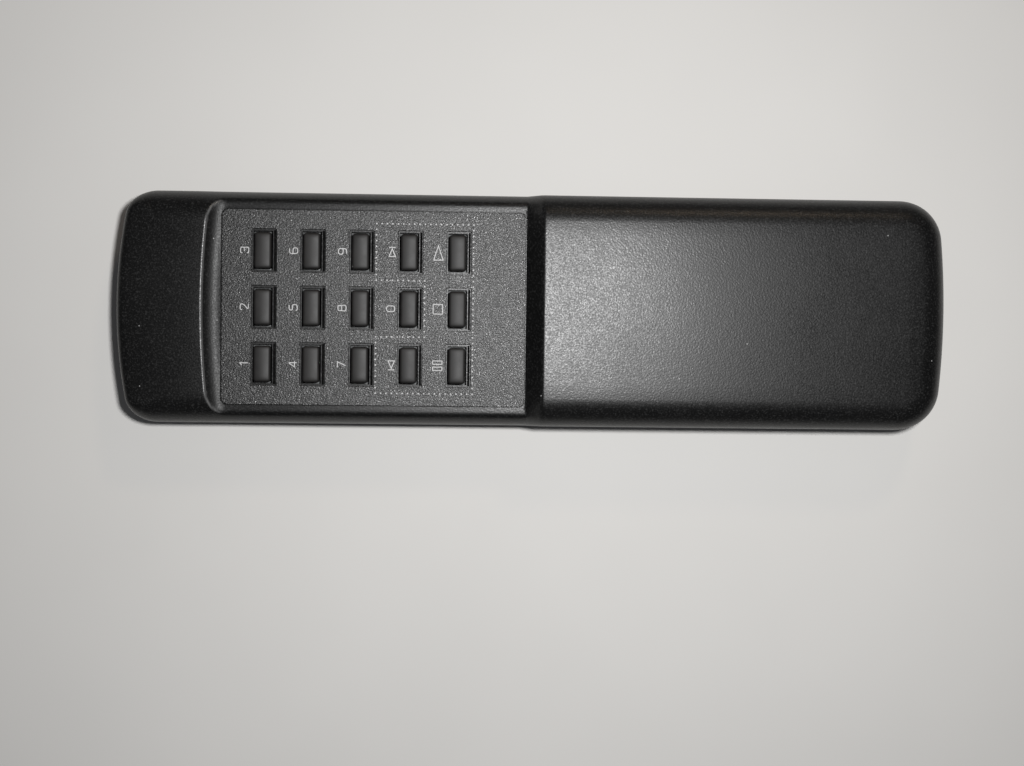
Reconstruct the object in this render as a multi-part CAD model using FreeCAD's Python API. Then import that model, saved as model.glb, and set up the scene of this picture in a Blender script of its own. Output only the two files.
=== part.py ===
import FreeCAD, Part
import math
import os

# A hand-held remote control for an amplifier and disc player: a two-part black case,
# an inset key panel with fifteen keys, a raised battery housing and a sliding battery cover.
# Units are millimetres. X runs along the case with the nose at -X, Y across it and Z up.
# The origin is under the middle of the case, on the surface that it lies on.

V = FreeCAD.Vector

# Case
LENGTH = 177.4
WIDTH = 49.6
PARTING_HEIGHT = 7.0
DECK_HEIGHT = 13.4
WALL = 2.0
NOSE_BOW_RADIUS = 103.0
TAIL_BOW_RADIUS = 170.0
NOSE_CORNER_RADIUS = 6.3
TAIL_CORNER_RADIUS = 9.3
DECK_EDGE_RADIUS = 2.0
BOTTOM_EDGE_RADIUS = 2.6
LIP_HEIGHT = 1.0
LIP_CLEARANCE = 0.1
SEAT_CLEARANCE = 0.05
RIB_LENGTH = 6.0
TOUCH = 0.01

# Hood over the nose
HOOD_LENGTH = 21.9
HOOD_RISE = 2.2
HOOD_TOP_RADIUS = 97.0
CREST_RADIUS = 2.6
COVE_RADIUS = 3.0
CREST_BOW_RADIUS = 170.0
CREST_FLAT = 0.4
LEAST_INNER_RADIUS = 0.5

# Raised battery housing
STEP_HEIGHT = 4.0
STEP_RUN = 3.2
STEP_EDGE_RADIUS = 0.7
HOUSING_EDGE_RADIUS = 6.2

# Key panel and keys
PANEL_MARGIN = 0.4
PANEL_LENGTH = 64.4
PANEL_WIDTH = 41.4
PANEL_THICKNESS = 0.6
PANEL_CORNER_RADIUS = 1.3
PANEL_GAP = 0.12
KEY_COLUMNS = 5
KEY_ROWS = 3
KEY_PITCH_ALONG = 10.3
KEY_PITCH_ACROSS = 12.0
KEY_MARGIN = 8.65
KEY_WIDTH = 3.6
KEY_LENGTH = 7.7
KEY_CORNER_RADIUS = 0.7
KEY_PROUD = 0.75
KEY_CROWN_RADIUS = 4.2
KEY_TOP_EDGE_RADIUS = 0.25
KEY_TRAVEL = 0.9
KEY_CLEARANCE = 0.3
KEY_FLANGE_THICKNESS = 0.8
KEY_FLANGE_RIM = 0.8
PANEL_HOLE_MARGIN = 0.75
PANEL_HOLE_BEVEL = 0.3

# Contact mat and circuit board
BOARD_HEIGHT = 6.4
BOARD_THICKNESS = 1.6
BOARD_SIDE_GAP = 1.8
BOARD_TO_EMITTER = 0.4
BOARD_TO_BAY = 0.8
BOARD_NOTCH_GAP = 0.4
BOARD_REST_INSET = 1.5
BOARD_REST_SETBACK = 9.5
MAT_THICKNESS = 0.8
MAT_MARGIN = 5.2
DOME_FLARE = 1.2
DOME_WALL = 0.7
DOME_ROOF = 1.0
MAT_SIDE_MARGIN = 1.0
PILL_RADIUS = 0.9
PILL_CLEARANCE = 0.15
PAD_RADIUS = 2.2
PAD_THICKNESS = 0.05
CLAMP_RIB = 1.2

# Screws and their bosses
SCREW_NOSE_SETBACK = 17.2
SCREW_SPREAD = 33.0
SCREW_TO_COVER = 6.0
SCREW_HEAD_RADIUS = 2.6
SCREW_HEAD_THICKNESS = 1.8
SCREW_SHANK_RADIUS = 1.45
SCREW_LENGTH = 9.0
SCREW_SEAT_HEIGHT = 3.0
SCREW_FIT = 0.04
SCREW_HEAD_GAP = 0.3
SCREW_SHANK_GAP = 0.25
SCREW_HEAD_EDGE_RADIUS = 0.6
SCREW_TIP_LENGTH = 1.2
SCREW_TIP_RADIUS = 0.3
SCREW_TIP_GAP = 0.3
SCREW_CROSS_LENGTH = 2.8
SCREW_CROSS_WIDTH = 0.6
SCREW_CROSS_DEPTH = 1.0
SCREW_POST_WALL = 1.6
BOSS_WALL = 1.1

# Infrared window and emitter
WINDOW_WIDTH = 33.0
WINDOW_BOTTOM = 3.2
WINDOW_HEIGHT = 8.2
WINDOW_GAP = 0.1
WINDOW_RECESS = 0.15
WINDOW_FLANGE = 1.2
WINDOW_FLANGE_RIM = 0.6
WINDOW_RIB_INSET = 4.0
EMITTER_RADIUS = 2.5
EMITTER_RIM = 0.4
EMITTER_RIM_LENGTH = 1.0
EMITTER_LENGTH = 8.7
CRADLE_WALL = 1.6
EMITTER_HEIGHT = 9.3
EMITTER_TO_WINDOW = 0.6
LEAD_RADIUS = 0.25
LEAD_PITCH = 2.54
LEAD_SETBACK = 1.2

# Battery bay: two AAA cells side by side
CELL_DIAMETER = 10.5
CELL_LENGTH = 44.5
CELL_NUB_RADIUS = 1.9
CELL_NUB_LENGTH = 0.8
CELL_GAP = 0.7
CELL_CLEARANCE = 0.3
SLEEVE_THICKNESS = 0.22
SLEEVE_GAP = 0.03
SLEEVE_MARGIN = 0.3
SPRING_LENGTH = 5.4
SPRING_WIRE_RADIUS = 0.3
SPRING_BASE_RADIUS = 3.9
SPRING_TIP_RADIUS = 2.5
SPRING_TURNS = 3.5
PLATE_THICKNESS = 0.4
BAY_WALL = 1.4
BAY_TAIL_SETBACK = 6.9
CONTACT_FOOT = 1.6
CONTACT_MARGIN = 1.0
TAB_WIDTH = 3.0
TAB_SETBACK = 1.6
TAB_DROP = 1.2
TAB_GAP = 0.2

# Battery cover
COVER_HALF_WIDTH = 17.0
COVER_LIP_HALF_WIDTH = 18.6
COVER_GAP = 0.15
COVER_RECESS = 0.3
COVER_FRONT_MARGIN = 4.0
COVER_LIP_LENGTH = 4.7
TONGUE_THICKNESS = 1.0
TONGUE_REACH = 1.4
TONGUE_ROOT = 2.5
TONGUE_END_GAP = 1.0
LATCH_WIDTH = 3.6
LATCH_REACH = 2.2
LATCH_ROOT = 3.0
GRIP_RIDGES = 6
GRIP_PITCH = 2.0
GRIP_WIDTH = 16.0
GRIP_DEPTH = 0.5
GRIP_SETBACK = 5.0
GRIP_GROOVE_WIDTH = 1.6

# Places along the case, worked out from the sizes above
X_NOSE = -LENGTH / 2
X_TAIL = LENGTH / 2
X_DECK = X_NOSE + HOOD_LENGTH
X_PANEL = X_DECK + PANEL_MARGIN
X_STEP = X_PANEL + PANEL_LENGTH + PANEL_MARGIN - PANEL_GAP
X_BAY_END = X_TAIL - BAY_TAIL_SETBACK
BAY_LENGTH = CELL_LENGTH + SPRING_LENGTH + 2 * PLATE_THICKNESS + 6 * SEAT_CLEARANCE
X_BAY = X_BAY_END - BAY_LENGTH
X_COVER = X_BAY - COVER_FRONT_MARGIN
X_COVER_LIP = X_TAIL - COVER_LIP_LENGTH
X_EMITTER = X_NOSE + WALL + 2 * WINDOW_GAP + WINDOW_FLANGE + EMITTER_TO_WINDOW
X_BOARD = X_EMITTER + EMITTER_LENGTH + BOARD_TO_EMITTER
X_BOARD_END = X_COVER - BAY_WALL - BOARD_TO_BAY
SCREW_PLACES = [
    (x, side * SCREW_SPREAD / 2)
    for x in (X_NOSE + SCREW_NOSE_SETBACK, X_COVER - SCREW_TO_COVER)
    for side in (-1, 1)
]

# Heights, worked out the same way
HOUSING_HEIGHT = DECK_HEIGHT + STEP_HEIGHT
DECK_UNDERSIDE = DECK_HEIGHT - WALL
PANEL_SEAT = DECK_HEIGHT - PANEL_THICKNESS
BOARD_TOP = BOARD_HEIGHT + BOARD_THICKNESS
MAT_TOP = BOARD_TOP + MAT_THICKNESS
DOME_TOP = DECK_UNDERSIDE - KEY_FLANGE_THICKNESS
CELL_RADIUS = CELL_DIAMETER / 2
CELL_AXIS_HEIGHT = WALL + CELL_CLEARANCE + CELL_RADIUS
CELL_OFFSET = CELL_RADIUS + CELL_GAP / 2
BAY_CEILING = CELL_AXIS_HEIGHT + CELL_RADIUS + CELL_CLEARANCE
BAY_HALF_WIDTH = CELL_OFFSET + CELL_RADIUS + CELL_CLEARANCE
RUNNER_HEIGHT = WALL + COVER_GAP + TONGUE_THICKNESS + 2 * SEAT_CLEARANCE
BOSS_RADIUS = SCREW_HEAD_RADIUS + SCREW_HEAD_GAP + BOSS_WALL
TAB_HEIGHT = BAY_CEILING - 2 * PLATE_THICKNESS - TAB_DROP

# Small parts on the board: a size in brackets is the length, width and height of a body
BOARD_PART_GAP = 0.4
CHIP_SIZE = (5.3, 12.6, 1.8)
CHIP_STANDOFF = 0.2
CHIP_LEGS = 10
CHIP_LEG_PITCH = 1.1
CHIP_LEG_WIDTH = 0.4
CHIP_LEG_THICKNESS = 0.25
CHIP_LEG_REACH = 1.2
CHIP_MARK_RADIUS = 0.5
CHIP_MARK_INSET = 1.2
CHIP_MARK_DEPTH = 0.15
RESONATOR_SIZE = (6.0, 3.0, 3.6)
RESONATOR_EDGE_RADIUS = 0.6
CAPACITOR_RADIUS = 2.0
CAPACITOR_LENGTH = 5.0
CAPACITOR_GROOVE_RADIUS = 0.3
CAPACITOR_GROOVE_SETBACK = 1.0
TRANSISTOR_RADIUS = 2.0
TRANSISTOR_HEIGHT = 3.2
TRANSISTOR_FLAT = 1.0
TRANSISTOR_LIFT = 0.8
TRANSISTOR_LEG_WIDTH = 0.4
TRANSISTOR_LEG_PITCH = 1.27
TRANSISTOR_OFFSET = 6.5
RESISTOR_RADIUS = 0.9
RESISTOR_LENGTH = 4.0
RESISTOR_SPAN = 7.5
RESISTOR_COUNT = 3
RESISTOR_PITCH = 2.8
RESISTOR_OFFSET = 7.6

DIGIT_KEYS = ["one", "two", "three", "four", "five", "six", "seven", "eight", "nine"]
COMMAND_KEYS = ["previous", "zero", "next", "pause", "stop", "play"]


def box(x0, x1, y0, y1, z0, z1):
    return Part.makeBox(x1 - x0, y1 - y0, z1 - z0, V(x0, y0, z0))


def post(radius, z0, z1, x, y):
    return Part.makeCylinder(radius, z1 - z0, V(x, y, z0))


def rod(radius, x0, x1, y, z):
    """A cylinder along X."""
    return Part.makeCylinder(radius, x1 - x0, V(x0, y, z), V(1, 0, 0))


def is_upright(edge):
    frame = edge.BoundBox
    return frame.ZLength > TOUCH and max(frame.XLength, frame.YLength) < TOUCH / 10


def middle(edge):
    return edge.valueAt((edge.FirstParameter + edge.LastParameter) / 2)


def rounded_block(x0, x1, y0, y1, z0, z1, radius):
    """A box whose four upright edges are rounded."""
    block = box(x0, x1, y0, y1, z0, z1)
    return block.makeFillet(radius, [e for e in block.Edges if is_upright(e)])


def side_profile(points):
    """A face in the XZ plane through the points, spread over Y when it is extruded."""
    corners = [V(x, -WIDTH, z) for x, z in points]
    return Part.Face(Part.makePolygon(corners + corners[:1]))


def spread(points):
    """The side profile through the points, as a solid wider than the case."""
    return side_profile(points).extrude(V(0, 2 * WIDTH, 0))


def outline(z_low, z_high, inset=0.0):
    """A slab with the outline of the case from above, drawn in by the inset."""
    half = WIDTH / 2 - inset
    nose = X_NOSE + inset
    tail = X_TAIL - inset
    nose_bow = NOSE_BOW_RADIUS - inset
    tail_bow = TAIL_BOW_RADIUS - inset
    slab = box(nose - WALL, tail + WALL, -half, half, z_low, z_high)
    slab = slab.common(post(nose_bow, z_low, z_high, nose + nose_bow, 0))
    slab = slab.common(post(tail_bow, z_low, z_high, tail - tail_bow, 0))
    nose_edges = [e for e in slab.Edges if is_upright(e) and middle(e).x < 0]
    slab = slab.makeFillet(NOSE_CORNER_RADIUS - inset, nose_edges)
    tail_edges = [
        e for e in slab.Edges if is_upright(e) and middle(e).x > 0 and abs(middle(e).y) > half - TOUCH
    ]
    return slab.makeFillet(TAIL_CORNER_RADIUS - inset, tail_edges)


def rim_edges(form, height, end_x, inset):
    """The edges above the height that lie on the outline, apart from a cut end."""
    core = outline(0, 2 * HOUSING_HEIGHT, inset + 5 * TOUCH)
    found = []
    for edge in form.Edges:
        place = middle(edge)
        if is_upright(edge) or place.z < height or abs(place.x - end_x) < TOUCH:
            continue
        if not core.isInside(place, TOUCH / 10, False):
            found.append(edge)
    return found


def hood_profile(inset):
    """The top of the deck and the hood, turned about an upright axis behind the hood."""
    turn = math.acos(1 - HOOD_RISE / (COVE_RADIUS + CREST_RADIUS))
    foot_r = CREST_BOW_RADIUS
    deck = DECK_HEIGHT - inset
    cove = COVE_RADIUS + inset
    crest = CREST_RADIUS - inset
    cove_centre = (foot_r, DECK_HEIGHT + COVE_RADIUS)
    crest_r = foot_r + (COVE_RADIUS + CREST_RADIUS) * math.sin(turn)
    crest_centre = (crest_r, DECK_HEIGHT + HOOD_RISE - CREST_RADIUS)
    hood_centre = (crest_r, DECK_HEIGHT + HOOD_RISE - HOOD_TOP_RADIUS)
    hood = HOOD_TOP_RADIUS - inset
    reach = math.asin((HOOD_LENGTH + 2 * WALL) / HOOD_TOP_RADIUS)

    def cove_point(angle):
        return V(cove_centre[0] + cove * math.sin(angle), 0, cove_centre[1] - cove * math.cos(angle))

    def crest_point(angle):
        return V(crest_centre[0] - crest * math.sin(angle), 0, crest_centre[1] + crest * math.cos(angle))

    def hood_point(angle):
        return V(hood_centre[0] + hood * math.sin(angle), 0, hood_centre[1] + hood * math.cos(angle))

    end = hood_point(reach)
    edges = [
        Part.makeLine(V(0, 0, 0), V(0, 0, deck)),
        Part.makeLine(V(0, 0, deck), cove_point(0)),
        Part.Arc(cove_point(0), cove_point(turn / 2), cove_point(turn)).toShape(),
        Part.Arc(crest_point(turn), crest_point(turn / 2), crest_point(0)).toShape(),
        Part.Arc(hood_point(0), hood_point(reach / 2), end).toShape(),
        Part.makeLine(end, V(end.x, 0, 0)),
        Part.makeLine(V(end.x, 0, 0), V(0, 0, 0)),
    ]
    return Part.Face(Part.Wire(edges))


def hooded_deck(inset=0.0):
    """The deck under the key panel with the hood that rises over the nose."""
    disc = hood_profile(inset).revolve(V(0, 0, 0), V(0, 0, 1), 360)
    disc.translate(V(X_DECK + CREST_BOW_RADIUS, 0, 0))
    end_x = X_STEP + STEP_RUN + 2 * WALL + HOUSING_EDGE_RADIUS / 2
    form = outline(PARTING_HEIGHT, 2 * HOUSING_HEIGHT, inset).common(disc)
    form = form.common(box(X_NOSE - WALL, end_x, -WIDTH, WIDTH, 0, 2 * HOUSING_HEIGHT))
    radius = min(DECK_EDGE_RADIUS, CREST_RADIUS - CREST_FLAT) - inset
    if radius > LEAST_INNER_RADIUS:
        form = form.makeFillet(radius, rim_edges(form, PARTING_HEIGHT + 1, end_x, inset))
    return form


def step_x(z, inset):
    """Where the sloping front of the battery housing is at a height."""
    slope = STEP_RUN / STEP_HEIGHT
    return X_STEP + (z - DECK_HEIGHT) * slope + inset * math.hypot(1, slope)


def battery_housing(inset=0.0):
    """The raised rear half of the case, rounded along its sides and its tail."""
    top = HOUSING_HEIGHT - inset
    start = X_STEP - STEP_HEIGHT - WALL
    form = outline(PARTING_HEIGHT, top, inset)
    form = form.common(box(start, X_TAIL + WALL, -WIDTH, WIDTH, 0, 2 * HOUSING_HEIGHT))
    form = form.makeFillet(HOUSING_EDGE_RADIUS - inset, rim_edges(form, top - TOUCH, start, inset))
    low = PARTING_HEIGHT - 1
    high = top + 1
    wedge = spread([
        (step_x(low, inset), low),
        (step_x(high, inset), high),
        (X_TAIL + WALL, high),
        (X_TAIL + WALL, low),
    ])
    form = form.common(wedge)
    if inset:
        return form
    corner = V(step_x(top, 0), 0, top)
    edges = [e for e in form.Edges if (middle(e) - corner).Length < TOUCH]
    return form.makeFillet(STEP_EDGE_RADIUS, edges)


def upper_form(inset=0.0):
    return hooded_deck(inset).fuse(battery_housing(inset)).removeSplitter()


def lower_form(inset=0.0):
    """The tray of the lower case, with its bottom edge rounded."""
    form = outline(inset, PARTING_HEIGHT, inset)
    radius = BOTTOM_EDGE_RADIUS - inset
    low_edges = [e for e in form.Edges if middle(e).z < inset + TOUCH]
    return form.makeFillet(radius, low_edges)


def key_places():
    """The name and the middle of each key, column by column from the nose."""
    names = DIGIT_KEYS + COMMAND_KEYS
    places = []
    for index, name in enumerate(names):
        column, row = divmod(index, KEY_ROWS)
        x = X_PANEL + KEY_MARGIN + column * KEY_PITCH_ALONG
        y = (row - (KEY_ROWS - 1) / 2) * KEY_PITCH_ACROSS
        places.append((name, x, y))
    return places


def key_block(x, y, margin, z0, z1, radius):
    """An upright block round a key's place, larger than the key by the margin."""
    half_x = KEY_WIDTH / 2 + margin
    half_y = KEY_LENGTH / 2 + margin
    return rounded_block(x - half_x, x + half_x, y - half_y, y + half_y, z0, z1, radius)


def panel_block(z0, z1, gap):
    half = PANEL_WIDTH / 2 + gap
    rear = X_PANEL + PANEL_LENGTH + gap
    return rounded_block(X_PANEL - gap, rear, -half, half, z0, z1, PANEL_CORNER_RADIUS + gap)


def window_ring(inner_inset, outer_inset, half_width, z0, z1):
    """A stretch of the nose between two depths behind its bowed face."""
    outer = NOSE_BOW_RADIUS - outer_inset
    inner = NOSE_BOW_RADIUS - inner_inset
    centre = X_NOSE + NOSE_BOW_RADIUS
    ring = post(outer, z0, z1, centre, 0).cut(post(inner, z0, z1, centre, 0))
    return ring.common(box(X_NOSE - WALL, X_BOARD, -half_width, half_width, z0, z1))


def window_space():
    """What the window takes out of the nose: its opening and room for its flange."""
    half = WINDOW_WIDTH / 2 + WINDOW_GAP
    low = WINDOW_BOTTOM - WINDOW_GAP
    top = WINDOW_BOTTOM + WINDOW_HEIGHT + WINDOW_GAP
    opening = box(X_NOSE - WALL, X_NOSE + 2 * WALL, -half, half, low, top)
    room_half = half + WINDOW_FLANGE_RIM
    depth = WALL + 2 * WINDOW_GAP + WINDOW_FLANGE
    room = window_ring(depth, WALL, room_half, low - WINDOW_FLANGE_RIM, top + WINDOW_FLANGE_RIM)
    return opening.fuse(room)


def infrared_window():
    """The dark window in the nose, with a flange behind the case wall."""
    top = WINDOW_BOTTOM + WINDOW_HEIGHT
    depth = WALL + WINDOW_GAP
    pane = window_ring(depth + WINDOW_FLANGE, WINDOW_RECESS, WINDOW_WIDTH / 2, WINDOW_BOTTOM, top)
    half = WINDOW_WIDTH / 2 + WINDOW_FLANGE_RIM
    flange = window_ring(
        depth + WINDOW_FLANGE, depth, half, WINDOW_BOTTOM - WINDOW_FLANGE_RIM, top + WINDOW_FLANGE_RIM
    )
    return pane.fuse(flange).removeSplitter()


def upper_case():
    shell = upper_form().cut(upper_form(WALL)).cut(window_space())
    rebate = outline(PARTING_HEIGHT - 1, PARTING_HEIGHT + LIP_HEIGHT + LIP_CLEARANCE, WALL / 2)
    shell = shell.cut(rebate)
    shell = shell.cut(panel_block(PANEL_SEAT, DECK_HEIGHT + 1, PANEL_GAP))
    for name, x, y in key_places():
        hole = key_block(x, y, KEY_CLEARANCE, DECK_UNDERSIDE - 1, DECK_HEIGHT, KEY_CORNER_RADIUS)
        shell = shell.cut(hole)
    return shell.fuse(clamp_ribs() + screw_posts()).removeSplitter()


def mat_limits():
    """The mat's front, rear and half width, from the outermost keys."""
    margin_x = MAT_MARGIN + KEY_WIDTH / 2
    front = X_PANEL + KEY_MARGIN - margin_x
    rear = X_PANEL + KEY_MARGIN + (KEY_COLUMNS - 1) * KEY_PITCH_ALONG + margin_x
    outer_key = (KEY_ROWS - 1) / 2 * KEY_PITCH_ACROSS + KEY_LENGTH / 2
    return front, rear, outer_key + DOME_FLARE + CLAMP_RIB + MAT_SIDE_MARGIN


def clamp_ribs():
    """Ribs under the deck that hold the mat's border down on the board."""
    front, rear, half = mat_limits()
    low = MAT_TOP
    high = DECK_UNDERSIDE + WALL / 4
    ribs = []
    for y in (-half + CLAMP_RIB / 2, half - CLAMP_RIB / 2):
        ribs.append(box(front, rear, y - CLAMP_RIB / 2, y + CLAMP_RIB / 2, low, high))
    for x in (front, rear - CLAMP_RIB):
        ribs.append(box(x, x + CLAMP_RIB, -half, half, low, high))
    return ribs


def screw_posts():
    """Posts under the ceiling that the case screws bite into."""
    posts = []
    for x, y in SCREW_PLACES:
        outer = post(SCREW_SHANK_RADIUS + SCREW_POST_WALL, PARTING_HEIGHT, HOUSING_HEIGHT, x, y)
        outer = outer.common(upper_form(WALL / 2))
        depth = SCREW_SEAT_HEIGHT + SCREW_LENGTH + SCREW_TIP_GAP
        bore = post(SCREW_SHANK_RADIUS + SCREW_FIT, 0, depth, x, y)
        posts.append(outer.cut(bore))
    return posts


def cover_opening():
    """What the battery cover takes out of the lower case."""
    half = COVER_HALF_WIDTH + COVER_GAP
    lip_half = COVER_LIP_HALF_WIDTH + COVER_GAP
    plate = box(X_COVER - COVER_GAP, X_TAIL + WALL, -half, half, -1, WALL)
    lip_top = PARTING_HEIGHT + 2 * LIP_HEIGHT
    lip = box(X_COVER_LIP - COVER_GAP, X_TAIL + WALL, -lip_half, lip_half, -1, lip_top)
    return plate.fuse(lip)


def battery_trough():
    """The battery bay inside the lower case: a trough over a runner shelf."""
    inner_half = WIDTH / 2 - WALL / 2
    x_out = X_BAY - BAY_WALL
    x_end = X_BAY_END + BAY_WALL
    out_half = BAY_HALF_WIDTH + BAY_WALL
    shelf_top = RUNNER_HEIGHT + BAY_WALL
    trough = box(x_out, x_end, -out_half, out_half, RUNNER_HEIGHT, BAY_CEILING + BAY_WALL)
    shelf = box(X_COVER - BAY_WALL, x_end, -inner_half, inner_half, RUNNER_HEIGHT, shelf_top)
    front_wall = box(X_COVER - BAY_WALL, X_COVER, -inner_half, inner_half, WALL / 2, shelf_top)
    above = box(x_out, x_end, -out_half, out_half, WALL, HOUSING_HEIGHT)
    body = trough.fuse([shelf, front_wall]).common(lower_form(WALL / 2).fuse(above))
    bay = box(X_BAY, X_BAY_END, -BAY_HALF_WIDTH, BAY_HALF_WIDTH, 0, BAY_CEILING)
    latch_half = LATCH_WIDTH / 2 + COVER_GAP
    slot = box(X_COVER - 2 * BAY_WALL, X_COVER + 1, -latch_half, latch_half, WALL, RUNNER_HEIGHT)
    return body.cut(bay).cut(slot).cut(tab_slots())


def tab_slots():
    """Slots in the bay's front wall for the tabs that reach the board."""
    slots = []
    low = TAB_HEIGHT - TAB_GAP
    high = TAB_HEIGHT + PLATE_THICKNESS + TAB_GAP
    half = TAB_WIDTH / 2 + TAB_GAP
    for side in (-1, 1):
        y = side * CELL_OFFSET
        slots.append(box(X_BAY - 2 * BAY_WALL, X_BAY + TAB_GAP, y - half, y + half, low, high))
    return slots[0].fuse(slots[1])


def lower_case():
    shell = lower_form().cut(lower_form(WALL))
    lip = outline(PARTING_HEIGHT - 1, PARTING_HEIGHT + LIP_HEIGHT, WALL / 2 + LIP_CLEARANCE)
    lip = lip.cut(outline(PARTING_HEIGHT - 2, PARTING_HEIGHT + 2, WALL))
    shell = shell.fuse([lip, battery_trough()])
    for x, y in SCREW_PLACES:
        shell = shell.fuse(post(BOSS_RADIUS, WALL / 2, PARTING_HEIGHT - SEAT_CLEARANCE, x, y))
    shell = shell.fuse(board_rests() + window_ribs() + [emitter_cradle()])
    for x, y in SCREW_PLACES:
        shell = shell.cut(post(SCREW_HEAD_RADIUS + SCREW_HEAD_GAP, -1, SCREW_SEAT_HEIGHT, x, y))
        shell = shell.cut(post(SCREW_SHANK_RADIUS + SCREW_SHANK_GAP, 0, PARTING_HEIGHT + 1, x, y))
    return shell.cut(window_space()).cut(cover_opening()).removeSplitter()


def board_rests():
    """Ribs on the floor that carry the circuit board."""
    front, rear, half = mat_limits()
    rests = []
    reach = RIB_LENGTH / 2
    for x in (X_BOARD + BOARD_REST_SETBACK, (front + rear) / 2, rear + CLAMP_RIB):
        for side in (-1, 1):
            y = side * (WIDTH / 2 - WALL - BOARD_SIDE_GAP - BOARD_REST_INSET)
            rib = box(x - reach, x + reach, y - CLAMP_RIB / 2, y + CLAMP_RIB / 2, WALL / 2, BOARD_HEIGHT)
            rests.append(rib)
    rests.append(box(X_STEP, X_STEP + CLAMP_RIB, -half / 2, half / 2, WALL / 2, BOARD_HEIGHT))
    return rests


def window_ribs():
    """Two ribs behind the window's flange that keep it against the wall."""
    ribs = []
    behind = X_NOSE + WALL + 2 * WINDOW_GAP + WINDOW_FLANGE
    for side in (-1, 1):
        y = side * (WINDOW_WIDTH / 2 - WINDOW_RIB_INSET)
        drop = NOSE_BOW_RADIUS - math.sqrt(NOSE_BOW_RADIUS ** 2 - (abs(y) + CLAMP_RIB) ** 2)
        front = behind + drop
        rear = front + RIB_LENGTH / 2
        ribs.append(box(front, rear, y - CLAMP_RIB / 2, y + CLAMP_RIB / 2, WALL / 2, PARTING_HEIGHT))
    return ribs


def emitter_cradle():
    """A forked rib on the floor that the emitter lies in."""
    x = X_EMITTER + EMITTER_LENGTH / 2
    half = EMITTER_RADIUS + CRADLE_WALL
    rib = box(x, x + CLAMP_RIB, -half, half, WALL / 2, EMITTER_HEIGHT)
    return rib.cut(rod(EMITTER_RADIUS + SEAT_CLEARANCE, x - 1, x + CLAMP_RIB + 1, 0, EMITTER_HEIGHT))


def battery_cover():
    """The sliding cover, cut from the same tray as the lower case."""
    half = COVER_HALF_WIDTH
    lip_half = COVER_LIP_HALF_WIDTH
    plate = lower_form().common(box(X_COVER, X_TAIL + WALL, -half, half, COVER_RECESS, WALL))
    shell = lower_form().cut(lower_form(WALL))
    lip_top = PARTING_HEIGHT - COVER_GAP
    lip = shell.common(box(X_COVER_LIP, X_TAIL + WALL, -lip_half, lip_half, COVER_RECESS, lip_top))
    low = WALL + COVER_GAP
    high = low + TONGUE_THICKNESS
    end = X_BAY_END - TONGUE_END_GAP
    tongues = []
    for side in (-1, 1):
        y0, y1 = sorted((side * (half - TONGUE_ROOT), side * (half + TONGUE_REACH)))
        root0, root1 = sorted((side * (half - TONGUE_ROOT), side * half))
        tongue = box(X_BAY, end, y0, y1, low, high)
        tongues.append(tongue.fuse(box(X_BAY, end, root0, root1, WALL / 2, high)))
    latch_half = LATCH_WIDTH / 2
    latch = box(X_COVER - LATCH_REACH, X_COVER + LATCH_ROOT, -latch_half, latch_half, low, high)
    latch = latch.fuse(box(X_COVER, X_COVER + LATCH_ROOT, -latch_half, latch_half, WALL / 2, high))
    cover = plate.fuse([lip, latch] + tongues)
    return cover.cut(grip_grooves()).removeSplitter()


def grip_grooves():
    """Rounded grooves across the cover for the thumb."""
    radius = (GRIP_DEPTH ** 2 + (GRIP_GROOVE_WIDTH / 2) ** 2) / (2 * GRIP_DEPTH)
    height = COVER_RECESS + GRIP_DEPTH - radius
    grooves = []
    for index in range(GRIP_RIDGES):
        x = X_COVER + GRIP_SETBACK + index * GRIP_PITCH
        groove = Part.makeCylinder(radius, GRIP_WIDTH, V(x, -GRIP_WIDTH / 2, height), V(0, 1, 0))
        grooves.append(groove)
    return grooves[0].fuse(grooves[1:])


def key_panel():
    panel = panel_block(PANEL_SEAT, DECK_HEIGHT, 0)
    for name, x, y in key_places():
        hole = key_block(x, y, PANEL_HOLE_MARGIN, PANEL_SEAT - 1, DECK_HEIGHT + 1, KEY_CORNER_RADIUS)
        panel = panel.cut(hole)
    holes = [e for e in panel.Edges if middle(e).z > DECK_HEIGHT - TOUCH and is_inner(e)]
    return panel.makeChamfer(PANEL_HOLE_BEVEL, holes)


def is_inner(edge):
    """Whether the edge belongs to a hole and not to the panel's rim."""
    place = middle(edge)
    margin = PANEL_CORNER_RADIUS
    inside_x = X_PANEL + margin < place.x < X_PANEL + PANEL_LENGTH - margin
    return inside_x and abs(place.y) < PANEL_WIDTH / 2 - margin


def key(x, y):
    """A key with a crowned top and a flange that stops under the deck."""
    top = DECK_HEIGHT + KEY_PROUD
    cap = key_block(x, y, 0, DOME_TOP, top + 1, KEY_CORNER_RADIUS)
    crown = Part.makeCylinder(
        KEY_CROWN_RADIUS, 2 * KEY_LENGTH, V(x, y - KEY_LENGTH, top - KEY_CROWN_RADIUS), V(0, 1, 0)
    )
    cap = cap.common(crown)
    cap = cap.makeFillet(KEY_TOP_EDGE_RADIUS, [e for e in cap.Edges if top_rim(e)])
    flange = key_block(x, y, KEY_FLANGE_RIM, DOME_TOP, DECK_UNDERSIDE, KEY_CORNER_RADIUS)
    return cap.fuse(flange).removeSplitter()


def top_rim(edge):
    return not is_upright(edge) and middle(edge).z > DECK_HEIGHT


def ring_wire(x, y, half_x, half_y, z, radius):
    """A rounded rectangle as a wire at a height."""
    face = rounded_block(x - half_x, x + half_x, y - half_y, y + half_y, z, z + 1, radius)
    low = [f for f in face.Faces if f.CenterOfMass.z < z + TOUCH][0]
    return low.OuterWire


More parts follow.
